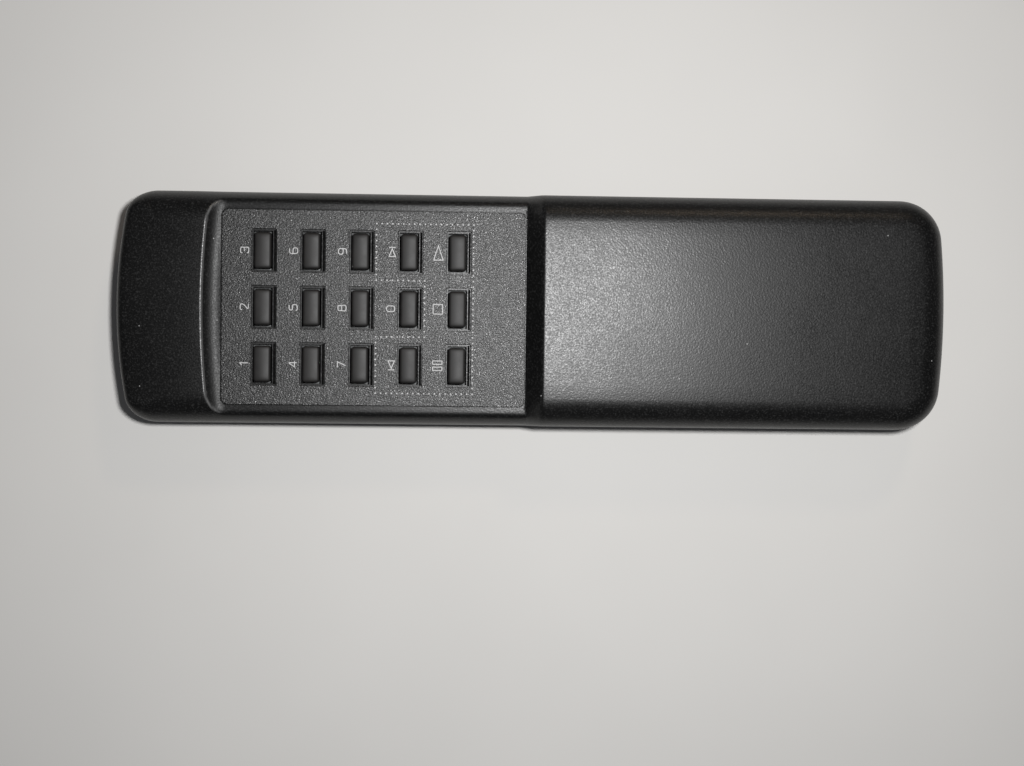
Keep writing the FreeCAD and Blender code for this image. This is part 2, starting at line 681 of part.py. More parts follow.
def dome(x, y, shrink, z0, z1):
    """The tapered dome of the mat under a key, drawn in by the shrink."""
    half_x = KEY_WIDTH / 2 - shrink
    half_y = KEY_LENGTH / 2 - shrink
    base = ring_wire(x, y, half_x + DOME_FLARE, half_y + DOME_FLARE, z0, KEY_CORNER_RADIUS)
    crown = ring_wire(x, y, half_x, half_y, z1, KEY_CORNER_RADIUS)
    return Part.makeLoft([base, crown], True, True)


def contact_mat():
    """A rubber sheet on the board with a hollow dome under each key."""
    front, rear, half = mat_limits()
    mat = rounded_block(front, rear, -half, half, BOARD_TOP, MAT_TOP, PANEL_CORNER_RADIUS)
    for name, x, y in key_places():
        mat = mat.fuse(dome(x, y, 0, MAT_TOP, DOME_TOP))
        mat = mat.cut(dome(x, y, DOME_WALL, BOARD_TOP, DOME_TOP - DOME_ROOF))
    return mat


def carbon_pills():
    """A contact under each dome's roof, above its pads by the key's travel."""
    low = BOARD_TOP + PAD_THICKNESS + KEY_TRAVEL + PILL_CLEARANCE
    return [post(PILL_RADIUS, low, DOME_TOP - DOME_ROOF, x, y) for name, x, y in key_places()]


def contact_pads():
    return [post(PAD_RADIUS, BOARD_TOP, BOARD_TOP + PAD_THICKNESS, x, y) for name, x, y in key_places()]


def circuit_board():
    half = WIDTH / 2 - WALL - BOARD_SIDE_GAP
    board = box(X_BOARD, X_BOARD_END, -half, half, BOARD_HEIGHT, BOARD_TOP)
    return board.cut([boss_notch(x, y) for x, y in SCREW_PLACES])


def boss_notch(x, y):
    """Room in the board's edge for a screw boss, open to the side of the case."""
    radius = BOSS_RADIUS + BOARD_NOTCH_GAP
    y0, y1 = sorted((y, math.copysign(WIDTH, y)))
    slot = box(x - radius, x + radius, y0, y1, BOARD_HEIGHT - 1, BOARD_TOP + 1)
    return slot.fuse(post(radius, BOARD_HEIGHT - 1, BOARD_TOP + 1, x, y)).removeSplitter()


def resonator_place():
    """The middle of the resonator, between the tabs of the two cells."""
    x = X_BOARD_END - BOARD_TO_BAY - RESONATOR_SIZE[0] / 2
    return x, CELL_OFFSET - TAB_WIDTH / 2 - BOARD_PART_GAP - RESONATOR_SIZE[1] / 2


def chip_place():
    """The middle of the encoder chip, behind the step and clear of the resonator's side."""
    y = resonator_place()[1] - RESONATOR_SIZE[1] / 2 - BOARD_PART_GAP - CHIP_SIZE[1] / 2
    return (X_STEP + X_BOARD_END) / 2, y


def encoder_chip():
    x, y = chip_place()
    half_x = CHIP_SIZE[0] / 2
    half_y = CHIP_SIZE[1] / 2
    low = BOARD_TOP + CHIP_STANDOFF
    high = low + CHIP_SIZE[2]
    body = box(x - half_x, x + half_x, y - half_y, y + half_y, low, high)
    mark_x = x - half_x + CHIP_MARK_INSET
    mark_y = y - half_y + CHIP_MARK_INSET
    return body.cut(post(CHIP_MARK_RADIUS, high - CHIP_MARK_DEPTH, high + 1, mark_x, mark_y))


def chip_legs():
    """Bent legs along both long sides of the chip."""
    x, y = chip_place()
    face = CHIP_SIZE[0] / 2
    knee = face + CHIP_LEG_REACH / 2
    top = BOARD_TOP + CHIP_STANDOFF + CHIP_SIZE[2] / 2
    legs = []
    for side in (-1, 1):
        for index in range(CHIP_LEGS):
            middle_y = y + (index - (CHIP_LEGS - 1) / 2) * CHIP_LEG_PITCH
            y0 = middle_y - CHIP_LEG_WIDTH / 2
            y1 = middle_y + CHIP_LEG_WIDTH / 2
            arm0, arm1 = sorted((x + side * face, x + side * knee))
            drop0, drop1 = sorted((x + side * (knee - CHIP_LEG_THICKNESS), x + side * knee))
            toe = x + side * (face + CHIP_LEG_REACH)
            foot0, foot1 = sorted((x + side * (knee - CHIP_LEG_THICKNESS), toe))
            arm = box(arm0, arm1, y0, y1, top - CHIP_LEG_THICKNESS, top)
            drop = box(drop0, drop1, y0, y1, BOARD_TOP, top)
            foot = box(foot0, foot1, y0, y1, BOARD_TOP, BOARD_TOP + CHIP_LEG_THICKNESS)
            legs.append(arm.fuse([drop, foot]).removeSplitter())
    return legs


def ceramic_resonator():
    x, y = resonator_place()
    half_x = RESONATOR_SIZE[0] / 2
    half_y = RESONATOR_SIZE[1] / 2
    top = BOARD_TOP + RESONATOR_SIZE[2]
    y0 = y - half_y
    y1 = y + half_y
    return rounded_block(x - half_x, x + half_x, y0, y1, BOARD_TOP, top, RESONATOR_EDGE_RADIUS)


def smoothing_capacitor():
    """A small can lying on the board along the case, outside a cell's tab."""
    end = X_BOARD_END - 2 * BOARD_TO_BAY
    start = end - CAPACITOR_LENGTH
    y = CELL_OFFSET + TAB_WIDTH / 2 + BOARD_PART_GAP + CAPACITOR_RADIUS
    z = BOARD_TOP + CAPACITOR_RADIUS
    centre = V(start + CAPACITOR_GROOVE_SETBACK, y, z)
    groove = Part.makeTorus(CAPACITOR_RADIUS, CAPACITOR_GROOVE_RADIUS, centre, V(1, 0, 0))
    return rod(CAPACITOR_RADIUS, start, end, y, z).cut(groove)


def driver_transistor():
    """A small transistor with one flat side, standing on three legs behind the emitter."""
    x = X_BOARD + BOARD_PART_GAP + TRANSISTOR_RADIUS
    y = TRANSISTOR_OFFSET
    low = BOARD_TOP + TRANSISTOR_LIFT
    top = low + TRANSISTOR_HEIGHT
    reach = 2 * TRANSISTOR_RADIUS
    half = TRANSISTOR_LEG_WIDTH / 2
    body = post(TRANSISTOR_RADIUS, low, top, x, y)
    body = body.cut(box(x + TRANSISTOR_FLAT, x + reach, y - reach, y + reach, low - 1, top + 1))
    legs = []
    for index in (-1, 0, 1):
        leg_y = y + index * TRANSISTOR_LEG_PITCH
        legs.append(box(x - half, x + half, leg_y - half, leg_y + half, BOARD_TOP, low))
    return body.fuse(legs).removeSplitter()


def resistors():
    """Resistors lying on the board behind the emitter, side by side."""
    found = []
    z = BOARD_TOP + RESISTOR_RADIUS
    y = -RESISTOR_OFFSET
    along = V(0, 1, 0)
    for index in range(RESISTOR_COUNT):
        x = X_BOARD + RESISTOR_PITCH + index * RESISTOR_PITCH
        body = Part.makeCylinder(RESISTOR_RADIUS, RESISTOR_LENGTH, V(x, y - RESISTOR_LENGTH / 2, z), along)
        wire = Part.makeCylinder(LEAD_RADIUS, RESISTOR_SPAN, V(x, y - RESISTOR_SPAN / 2, z), along)
        bend = RESISTOR_SPAN / 2 - LEAD_RADIUS
        ends = [post(LEAD_RADIUS, BOARD_TOP, z, x, y + side * bend) for side in (-1, 1)]
        found.append(body.fuse([wire] + ends).removeSplitter())
    return found


def infrared_emitter():
    """The emitter's clear body: a rim, a barrel and a domed front."""
    tip = X_EMITTER
    centre = tip + EMITTER_RADIUS
    base = tip + EMITTER_LENGTH
    dome_part = Part.makeSphere(EMITTER_RADIUS, V(centre, 0, EMITTER_HEIGHT))
    barrel = rod(EMITTER_RADIUS, centre, base, 0, EMITTER_HEIGHT)
    rim = rod(EMITTER_RADIUS + EMITTER_RIM, base - EMITTER_RIM_LENGTH, base, 0, EMITTER_HEIGHT)
    return dome_part.fuse([barrel, rim]).removeSplitter()


def emitter_leads():
    """Two wires from the emitter's base that turn down onto the board."""
    base = X_EMITTER + EMITTER_LENGTH
    end = X_BOARD + LEAD_SETBACK
    leads = []
    for side in (-1, 1):
        y = side * LEAD_PITCH / 2
        run = rod(LEAD_RADIUS, base, end, y, EMITTER_HEIGHT)
        drop = post(LEAD_RADIUS, BOARD_TOP, EMITTER_HEIGHT, end - LEAD_RADIUS, y)
        leads.append(run.fuse(drop).removeSplitter())
    return leads


def cell_limits():
    """The plate faces that the cell's nub and its spring meet, front first."""
    front = X_BAY + PLATE_THICKNESS + SEAT_CLEARANCE
    rear = X_BAY_END - PLATE_THICKNESS - SEAT_CLEARANCE
    return front, rear


def cell_span(side):
    """Where the cell's flat end and its nub tip are, and the way the nub points."""
    front, rear = cell_limits()
    if side > 0:
        tip = front + 2 * SEAT_CLEARANCE
        return tip + CELL_LENGTH, tip, -1
    tip = rear - 2 * SEAT_CLEARANCE
    return tip - CELL_LENGTH, tip, 1


def cell_can(side):
    """The cell's metal: its core, flat end and nub."""
    flat, tip, way = cell_span(side)
    y = side * CELL_OFFSET
    shoulder = tip - way * CELL_NUB_LENGTH
    radius = CELL_RADIUS - SLEEVE_THICKNESS - SLEEVE_GAP
    core = rod(radius, min(flat, shoulder), max(flat, shoulder), y, CELL_AXIS_HEIGHT)
    nub = rod(CELL_NUB_RADIUS, min(tip, shoulder), max(tip, shoulder), y, CELL_AXIS_HEIGHT)
    return core.fuse(nub).removeSplitter()


def cell_jacket(side):
    """The plastic sleeve round the cell."""
    flat, tip, way = cell_span(side)
    y = side * CELL_OFFSET
    shoulder = tip - way * (CELL_NUB_LENGTH + SLEEVE_MARGIN)
    start = flat + way * SLEEVE_MARGIN
    low = min(start, shoulder)
    high = max(start, shoulder)
    sleeve = rod(CELL_RADIUS, low, high, y, CELL_AXIS_HEIGHT)
    return sleeve.cut(rod(CELL_RADIUS - SLEEVE_THICKNESS, low - 1, high + 1, y, CELL_AXIS_HEIGHT))


def contact_plate(x0, y, half_y):
    top = BAY_CEILING - CELL_CLEARANCE
    return box(x0, x0 + PLATE_THICKNESS, y - half_y, y + half_y, WALL + CONTACT_FOOT, top)


def board_tab(y):
    """A strip from a front contact through the bay wall and down onto the board."""
    half = TAB_WIDTH / 2
    top = TAB_HEIGHT + PLATE_THICKNESS
    end = X_BOARD_END - TAB_SETBACK
    run = box(end, X_BAY + PLATE_THICKNESS, y - half, y + half, TAB_HEIGHT, top)
    return run.fuse(box(end, end + PLATE_THICKNESS, y - half, y + half, BOARD_TOP, top))


def positive_contact():
    y = CELL_OFFSET
    plate = contact_plate(X_BAY + SEAT_CLEARANCE / 2, y, CELL_RADIUS - CONTACT_MARGIN)
    return plate.fuse(board_tab(y)).removeSplitter()


def negative_contact():
    y = -CELL_OFFSET
    plate = contact_plate(X_BAY + SEAT_CLEARANCE / 2, y, CELL_RADIUS - CONTACT_MARGIN)
    return plate.fuse(board_tab(y)).removeSplitter()


def bridge_plate():
    """The plate at the rear of the bay that joins the two cells."""
    half = CELL_OFFSET + CELL_RADIUS - CONTACT_MARGIN
    return contact_plate(X_BAY_END - PLATE_THICKNESS - SEAT_CLEARANCE / 2, 0, half)


def coil_point(turn, side, plate_x, way):
    """A point of the tapering coil after a number of turns from its plate."""
    share = turn / SPRING_TURNS
    radius = SPRING_BASE_RADIUS + (SPRING_TIP_RADIUS - SPRING_BASE_RADIUS) * share
    rise = 3 * SPRING_WIRE_RADIUS + (SPRING_LENGTH - 5 * SPRING_WIRE_RADIUS) * share
    angle = 2 * math.pi * turn
    y = side * CELL_OFFSET + radius * math.cos(angle)
    z = CELL_AXIS_HEIGHT + radius * math.sin(angle)
    return V(plate_x + way * rise, y, z)


def coil_tangent(turn, side, plate_x, way):
    step = 0.0001
    ahead = coil_point(turn + step, side, plate_x, way)
    return (ahead - coil_point(turn - step, side, plate_x, way)).normalize()


def arc_between(start, corner, end):
    """The arc that leaves start towards the corner and reaches end from it."""
    chord = (start + end) * 0.5
    half = (end - start).Length / 2
    reach = (corner - start).Length
    bulge = corner - chord
    radius = half * reach / bulge.Length
    sagitta = radius - math.sqrt(radius ** 2 - half ** 2)
    return Part.Arc(start, chord + bulge.normalize() * sagitta, end).toShape()


def biarc(start, start_way, end, end_way):
    """Two arcs that leave start and reach end along the given directions."""
    gap = end - start
    ways = start_way + end_way
    a = 2 * (start_way.dot(end_way) - 1)
    b = -2 * gap.dot(ways)
    c = gap.dot(gap)
    reach = (-b - math.sqrt(b * b - 4 * a * c)) / (2 * a)
    first = start + start_way * reach
    last = end - end_way * reach
    joint = (first + last) * 0.5
    return [arc_between(start, first, joint), arc_between(joint, last, end)]


def coil_spring(side, plate_x, way):
    """A conical spring: one wire that stands off its plate and winds to the cell."""
    foot = coil_point(-0.25, side, plate_x, way)
    foot = V(plate_x, foot.y, foot.z)
    straight = foot + V(way * 2 * SPRING_WIRE_RADIUS, 0, 0)
    edges = [Part.makeLine(foot, straight)]
    edges += biarc(
        straight, V(way, 0, 0), coil_point(0, side, plate_x, way), coil_tangent(0, side, plate_x, way)
    )
    quarters = int(round(SPRING_TURNS * 4))
    for index in range(quarters):
        turn0 = index / 4
        turn1 = (index + 1) / 4
        edges += biarc(
            coil_point(turn0, side, plate_x, way), coil_tangent(turn0, side, plate_x, way),
            coil_point(turn1, side, plate_x, way), coil_tangent(turn1, side, plate_x, way),
        )
    ring = Part.Wire(Part.makeCircle(SPRING_WIRE_RADIUS, foot, V(1, 0, 0)))
    return Part.Wire(edges).makePipeShell([ring], True, False)


def coil_gap():
    """The least gap between neighbouring turns of a coil, measured on points."""
    steps = 40
    count = int(SPRING_TURNS * steps)
    points = [coil_point(index / steps, 1, 0, 1) for index in range(count + 1)]
    least = SPRING_LENGTH
    for first in range(count + 1):
        for second in range(first + steps // 2, count + 1):
            least = min(least, (points[second] - points[first]).Length)
    return least - 2 * SPRING_WIRE_RADIUS


def case_screw(x, y):
    """A pan-head screw from below, with a cross in its head."""
    head_low = SCREW_SEAT_HEIGHT - SCREW_HEAD_THICKNESS
    head = post(SCREW_HEAD_RADIUS, head_low, SCREW_SEAT_HEIGHT, x, y)
    rim = [e for e in head.Edges if middle(e).z < head_low + TOUCH]
    head = head.makeFillet(SCREW_HEAD_EDGE_RADIUS, rim)
    tip_low = SCREW_SEAT_HEIGHT + SCREW_LENGTH - SCREW_TIP_LENGTH
    shank = post(SCREW_SHANK_RADIUS, SCREW_SEAT_HEIGHT, tip_low, x, y)
    tip = Part.makeCone(SCREW_SHANK_RADIUS, SCREW_TIP_RADIUS, SCREW_TIP_LENGTH, V(x, y, tip_low))
    long = SCREW_CROSS_LENGTH / 2
    short = SCREW_CROSS_WIDTH / 2
    depth = head_low + SCREW_CROSS_DEPTH
    cross = box(x - long, x + long, y - short, y + short, head_low - 1, depth)
    cross = cross.fuse(box(x - short, x + short, y - long, y + long, head_low - 1, depth))
    return head.fuse([shank, tip]).removeSplitter().cut(cross)


def case_screws():
    return [case_screw(x, y) for x, y in SCREW_PLACES]


def save(name, shape):
    if isinstance(shape, list):
        shape = Part.makeCompound(shape)
    shape.exportStep(f"parts/{name}.step")


def main():
    os.makedirs("parts", exist_ok=True)
    save("upper_case", upper_case())
    save("lower_case", lower_case())
    save("battery_cover", battery_cover())
    save("key_panel", key_panel())
    save("infrared_window", infrared_window())
    for name, x, y in key_places():
        save(f"key_{name}", key(x, y))
    save("contact_mat", contact_mat())
    save("carbon_pills", carbon_pills())
    save("circuit_board", circuit_board())
    save("contact_pads", contact_pads())
    save("encoder_chip", encoder_chip())
    save("chip_legs", chip_legs())
    save("ceramic_resonator", ceramic_resonator())
    save("smoothing_capacitor", smoothing_capacitor())
    save("driver_transistor", driver_transistor())
    save("resistors", resistors())
    save("infrared_emitter", infrared_emitter())
    save("emitter_leads", emitter_leads())
    for number, side in ((1, 1), (2, -1)):
        save(f"battery_{number}_can", cell_can(side))
        save(f"battery_{number}_jacket", cell_jacket(side))
    front, rear = cell_limits()
    save("positive_contact", positive_contact())
    save("negative_contact", negative_contact())
    save("negative_spring", coil_spring(-1, front, 1))
    save("bridge_plate", bridge_plate())
    save("bridge_spring", coil_spring(1, rear, -1))
    save("case_screws", case_screws())
    print(f"least gap between the turns of a spring: {coil_gap():.2f} mm")


main()
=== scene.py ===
import math

import bmesh
import bpy
from mathutils import Euler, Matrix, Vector
from mathutils.geometry import delaunay_2d_cdt


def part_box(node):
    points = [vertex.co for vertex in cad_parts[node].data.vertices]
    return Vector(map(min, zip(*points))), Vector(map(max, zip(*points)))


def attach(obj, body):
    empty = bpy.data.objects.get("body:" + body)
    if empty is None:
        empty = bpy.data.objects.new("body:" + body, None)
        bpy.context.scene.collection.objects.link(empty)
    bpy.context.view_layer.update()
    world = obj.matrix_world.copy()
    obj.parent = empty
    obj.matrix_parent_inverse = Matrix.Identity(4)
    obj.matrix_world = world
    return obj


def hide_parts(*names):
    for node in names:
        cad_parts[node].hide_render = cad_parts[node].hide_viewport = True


# The looks of a hand-held remote control for an amplifier and disc player: its finishes, the case's
# outside, the key panel and the key caps in the forms that the photograph shows, the printed legends,
# a pale floor, plain light and the photograph's view.
# Lengths are metres unless a name says otherwise. X runs along the case with the nose at -X.

MM = 0.001

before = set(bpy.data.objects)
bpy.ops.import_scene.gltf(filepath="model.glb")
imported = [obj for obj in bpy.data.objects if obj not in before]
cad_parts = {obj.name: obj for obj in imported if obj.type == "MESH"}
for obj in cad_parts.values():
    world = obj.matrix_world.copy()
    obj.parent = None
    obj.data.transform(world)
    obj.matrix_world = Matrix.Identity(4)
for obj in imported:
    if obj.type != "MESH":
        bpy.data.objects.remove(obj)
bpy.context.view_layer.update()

# Camera: the photograph was taken from above, a little nearer to the nose
CAMERA_PLACE = Vector((-14.8, -10.0, 290.6)) * MM
CAMERA_ANGLES_DEG = (-1.16, -2.073, 0.69)
SENSOR_WIDTH_MM = 36.0
FOCAL_PX = 1300.0
IMAGE_WIDTH_PX = 1024.0
NEAREST_SEEN = 0.01
FARTHEST_SEEN = 10.0

# Lights: a small key light beside the camera, a warm lamp across the room, and the room itself
KEY_LIGHT_PLACE = Vector((20.0, 13.0, 290.0)) * MM
KEY_LIGHT_SIZE = 26 * MM
KEY_LIGHT_WATTS = 0.80
WARM_LIGHT_PLACE = Vector((160.0, 480.0, 400.0)) * MM
WARM_LIGHT_SIZE = 90 * MM
WARM_LIGHT_WATTS = 0.24
WARM_LIGHT_COLOR = (1.0, 0.80, 0.60)
ROOM_COLOR = (0.93, 0.95, 1.0)
ROOM_STRENGTH = 0.07

# Floor
FLOOR_COLOR = (0.70, 0.69, 0.67)
FLOOR_DARKER = 0.965
FLOOR_ROUGHNESS = 0.8
FLOOR_CLOUD = 60 * MM
FLOOR_GRAIN = 0.6 * MM
FLOOR_GRAIN_DEPTH = 0.02 * MM
FLOOR_HALF = 1.5

# Finishes. Grey levels run from 0 to 255, and most of a noise lies between the two noise values.
NOISE_LOW = 0.3
NOISE_HIGH = 0.7
CLOUD_SIZE = 22 * MM
HANDLING_SIZE = 5 * MM
DUST_RADIUS = 0.12 * MM
DUST_GREY = 190
CASE_DUST_CELL = 14 * MM
CASE_DUST_SHARE = 0.35
CASE_DUST_COVER = 0.7
KEY_DUST_CELL = 5 * MM
KEY_DUST_SHARE = 0.25
KEY_DUST_COVER = 0.6
TONE_SWING = 3
# Painted sparkle: light grey specks on the grain that stand in for glints of light
PAINTED_SPARKLE_GREY = 70
PAINTED_SPARKLE_START = 0.52
PAINTED_SPARKLE_FULL = 0.75
HANDLING_START = 0.55
HANDLING_FULL = 0.8
HANDLING_SMOOTHER = 0.03
GLINT_GRAIN = 0.8
GLINT_STRETCH = (1.0, 1.0, 1.7)
COARSE_GRAIN = 9
COARSE_BUMP = 0.1
# Painted highlight on the hood's crest: the grey mixed into the case's colour there and how much of it; the
# crest's roughness is also lowered
CREST_HIGHLIGHT_GREY = 130
CREST_HIGHLIGHT_COVER = 0.6
RUB_SMOOTHER = 0.24
DULL_ROUGHER = 0.10
INK_BRIGHT = 205
INK_WORN = 165
RUBBER_COLORS = ((0.012, 0.0112, 0.011), (0.018, 0.0168, 0.0162))
WINDOW_COLORS = ((0.020, 0.002, 0.003), (0.030, 0.003, 0.004))
BOARD_COLORS = ((0.05, 0.14, 0.06), (0.09, 0.24, 0.09))
TRACK_SCALE = 160
TRACK_DISTORTION = 3.0
TRACK_DETAIL_SCALE = 120
TRACK_START = 0.55
TRACK_FULL = 0.6
SLEEVE_COLORS = ((0.02, 0.035, 0.09), (0.55, 0.56, 0.58))
SLEEVE_BAND_START = 0.7
SLEEVE_BAND_FADE = 0.1 * MM

# Finishes that vary between two colours: name, colours, roughness, size of the patches, metallic
PLAIN_FINISHES = (
    ("mat_rubber", (0.30, 0.31, 0.31), (0.36, 0.37, 0.37), 0.60, 6 * MM, 0.0),
    ("carbon", (0.012, 0.012, 0.012), (0.02, 0.02, 0.02), 0.65, 1 * MM, 0.0),
    ("chip_black", (0.018, 0.018, 0.02), (0.03, 0.03, 0.032), 0.55, 2 * MM, 0.0),
    ("tinned", (0.62, 0.63, 0.64), (0.75, 0.76, 0.77), 0.30, 1 * MM, 1.0),
    ("resonator_blue", (0.02, 0.10, 0.35), (0.03, 0.14, 0.45), 0.40, 2 * MM, 0.0),
    ("capacitor_can", (0.02, 0.03, 0.06), (0.03, 0.045, 0.09), 0.35, 2 * MM, 0.0),
    ("resistor_tan", (0.55, 0.40, 0.24), (0.62, 0.46, 0.28), 0.45, 1 * MM, 0.0),
    ("emitter_clear", (0.10, 0.12, 0.20), (0.14, 0.16, 0.26), 0.15, 2 * MM, 0.0),
    ("cell_steel", (0.60, 0.60, 0.60), (0.72, 0.72, 0.71), 0.25, 3 * MM, 1.0),
    ("contact_nickel", (0.62, 0.60, 0.55), (0.74, 0.72, 0.66), 0.28, 2 * MM, 1.0),
    ("screw_steel", (0.22, 0.22, 0.22), (0.32, 0.32, 0.31), 0.38, 1 * MM, 1.0),
)

# The upper case, drawn again with the hood and the rounded sides that the photograph shows
CASE_LOW, CASE_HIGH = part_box("upper_case")
NOSE_BOW = 103.0 * MM
TAIL_BOW = 170.0 * MM
NOSE_CORNER = 6.3 * MM
TAIL_CORNER = 9.3 * MM
DECK_Z = 13.4 * MM
DECK_X = CASE_LOW.x + 21.9 * MM
HOOD_RISE = 1.85 * MM
HOOD_TOP_RADIUS = 97.0 * MM
HOOD_SIDE_RADIUS = 7.0 * MM
HOOD_CORNER_RADIUS = 6.0 * MM
HOOD_NOSE_RADIUS = 1.8 * MM
COVE_RADIUS = 4.2 * MM
COVE_BOW = 170.0 * MM
COVE_END = 0.999
CREST_SOFTNESS = 0.5 * MM
CREST_BAND_WIDTH = 0.3 * MM
DULL_START = 0.03 * MM
STEP_X = -1.72 * MM
STEP_RUN = 3.2 * MM
STEP_SOFTNESS = 0.16
HOUSING_EDGE_RADIUS = 6.2 * MM

# How finely the upper case's skin is drawn
RIM_ANGLES_DEG = (8, 16, 24, 31, 37, 42, 46, 50, 54, 59, 65, 72, 80, 90)
BOW_PARTS = 14
CORNER_PARTS = 30
HOOD_SPACING = 1.2 * MM
CREST_SPACING = 0.35 * MM
CREST_BEFORE = 6 * MM
CREST_AFTER = 1.5 * MM
DECK_SPACING = 1.0 * MM
STEP_SPACING = 0.25 * MM
STEP_BEFORE = 1 * MM
STEP_AFTER = 4 * MM
HOUSING_SPACING = 1.5 * MM
RECESS_PARTS = 64
PLACE_MARGIN = 0.1 * MM
LEAST_INSET = 0.02 * MM
MIDDLE_MARGIN = 0.01 * MM
MERGE_DISTANCE = 1e-7
INWARD_STEP = 1e-6
# Runs of places inside the rim, as (from, to, spacing): arcs over the hood by how far they are in
# front of the cove's foot, and rows over the step and the housing by their X
ARC_RUNS = ((-0.4 * MM, 5.2 * MM, 0.2 * MM), (6.5 * MM, 21 * MM, 2 * MM))
ARC_ACROSS = 1.2 * MM
STEP_RUNS = (
    (STEP_X - 0.4 * MM, STEP_X + 4.4 * MM, 0.2 * MM),
    (STEP_X + 6 * MM, CASE_HIGH.x, 5 * MM),
)
STEP_ACROSS = 3 * MM

# The key panel, the deck under it and the keys
PANEL_BEVEL = 0.12 * MM
PANEL_HOLE_BEVEL = 0.1 * MM
PANEL_HOLE_FRONT = 0.5 * MM
PANEL_HOLE_REAR = 1.1 * MM
PANEL_HOLE_SIDE = 0.7 * MM
PANEL_GROOVE = 0.15 * MM
PANEL_CORNER = 1.5 * MM
HOLE_CORNER = 0.3 * MM
DECK_THICKNESS = 1.4 * MM
COLLAR_HEIGHT = 0.45 * MM
COLLAR_WALL = 0.18 * MM
COLLAR_SLOPE = 0.45 * MM
KEY_GAP = 0.3 * MM
KEY_HALF_X = 1.8 * MM
KEY_HALF_Y = 3.85 * MM
KEY_CORNER = 0.7 * MM
KEY_EDGE_RADIUS = 0.45 * MM
KEY_CROWN_RADIUS = 7.0 * MM
KEY_END_LENGTH = 1.3 * MM
KEY_END_DROP = 0.22 * MM
KEY_BASE_RISE = 1.1 * MM
KEY_SIDE_PARTS = 12
KEY_EDGE_ANGLES_DEG = (0, 18, 36, 54, 72, 90)
KEY_RING_SPACING = 0.2 * MM
KEY_LEAST_RING = 0.02 * MM

# Printed legends on the panel
INK_THICKNESS = 0.02 * MM
INK_WIDTH = 0.19 * MM
DIGIT_HEIGHT = 1.72 * MM
DIGIT_WIDTH = 1.2 * MM
DIGIT_GAP = 3.83 * MM
SKIP_SYMBOL_GAP = 3.6 * MM
WIDE_SYMBOL_GAP = 4.12 * MM
SKIP_HALF = 0.68 * MM
SKIP_REACH = 0.92 * MM
SKIP_APEX = 0.75
SKIP_BAR_OFFSET = 0.4
PLAY_HALF = 0.98 * MM
PLAY_REACH = 1.55 * MM
STOP_HALF = 1.0 * MM
PAUSE_OFFSET = 0.66 * MM
PAUSE_HALF = 0.36 * MM
DOT_RADIUS = 0.17 * MM
DOT_SIDES = 8
DOTS_PER_COLUMN = 9
DOTS_PER_ROW = 10
DOT_LINE_SETBACK = 6.95 * MM
BEND_STEPS = 4
BEND_SHARE = 0.45
LEAST_MITRE = 0.4

DIGIT_KEYS = ["zero", "one", "two", "three", "four", "five", "six", "seven", "eight", "nine"]
COMMAND_KEYS = ["previous", "next", "pause", "stop", "play"]
ALL_KEYS = DIGIT_KEYS + COMMAND_KEYS


def srgb(value):
    """The linear level of a grey that is written from 0 to 255."""
    level = value / 255
    return level / 12.92 if level <= 0.04045 else ((level + 0.055) / 1.055) ** 2.4


def grey(value):
    """A neutral colour from a level that is written from 0 to 255."""
    return (srgb(value),) * 3


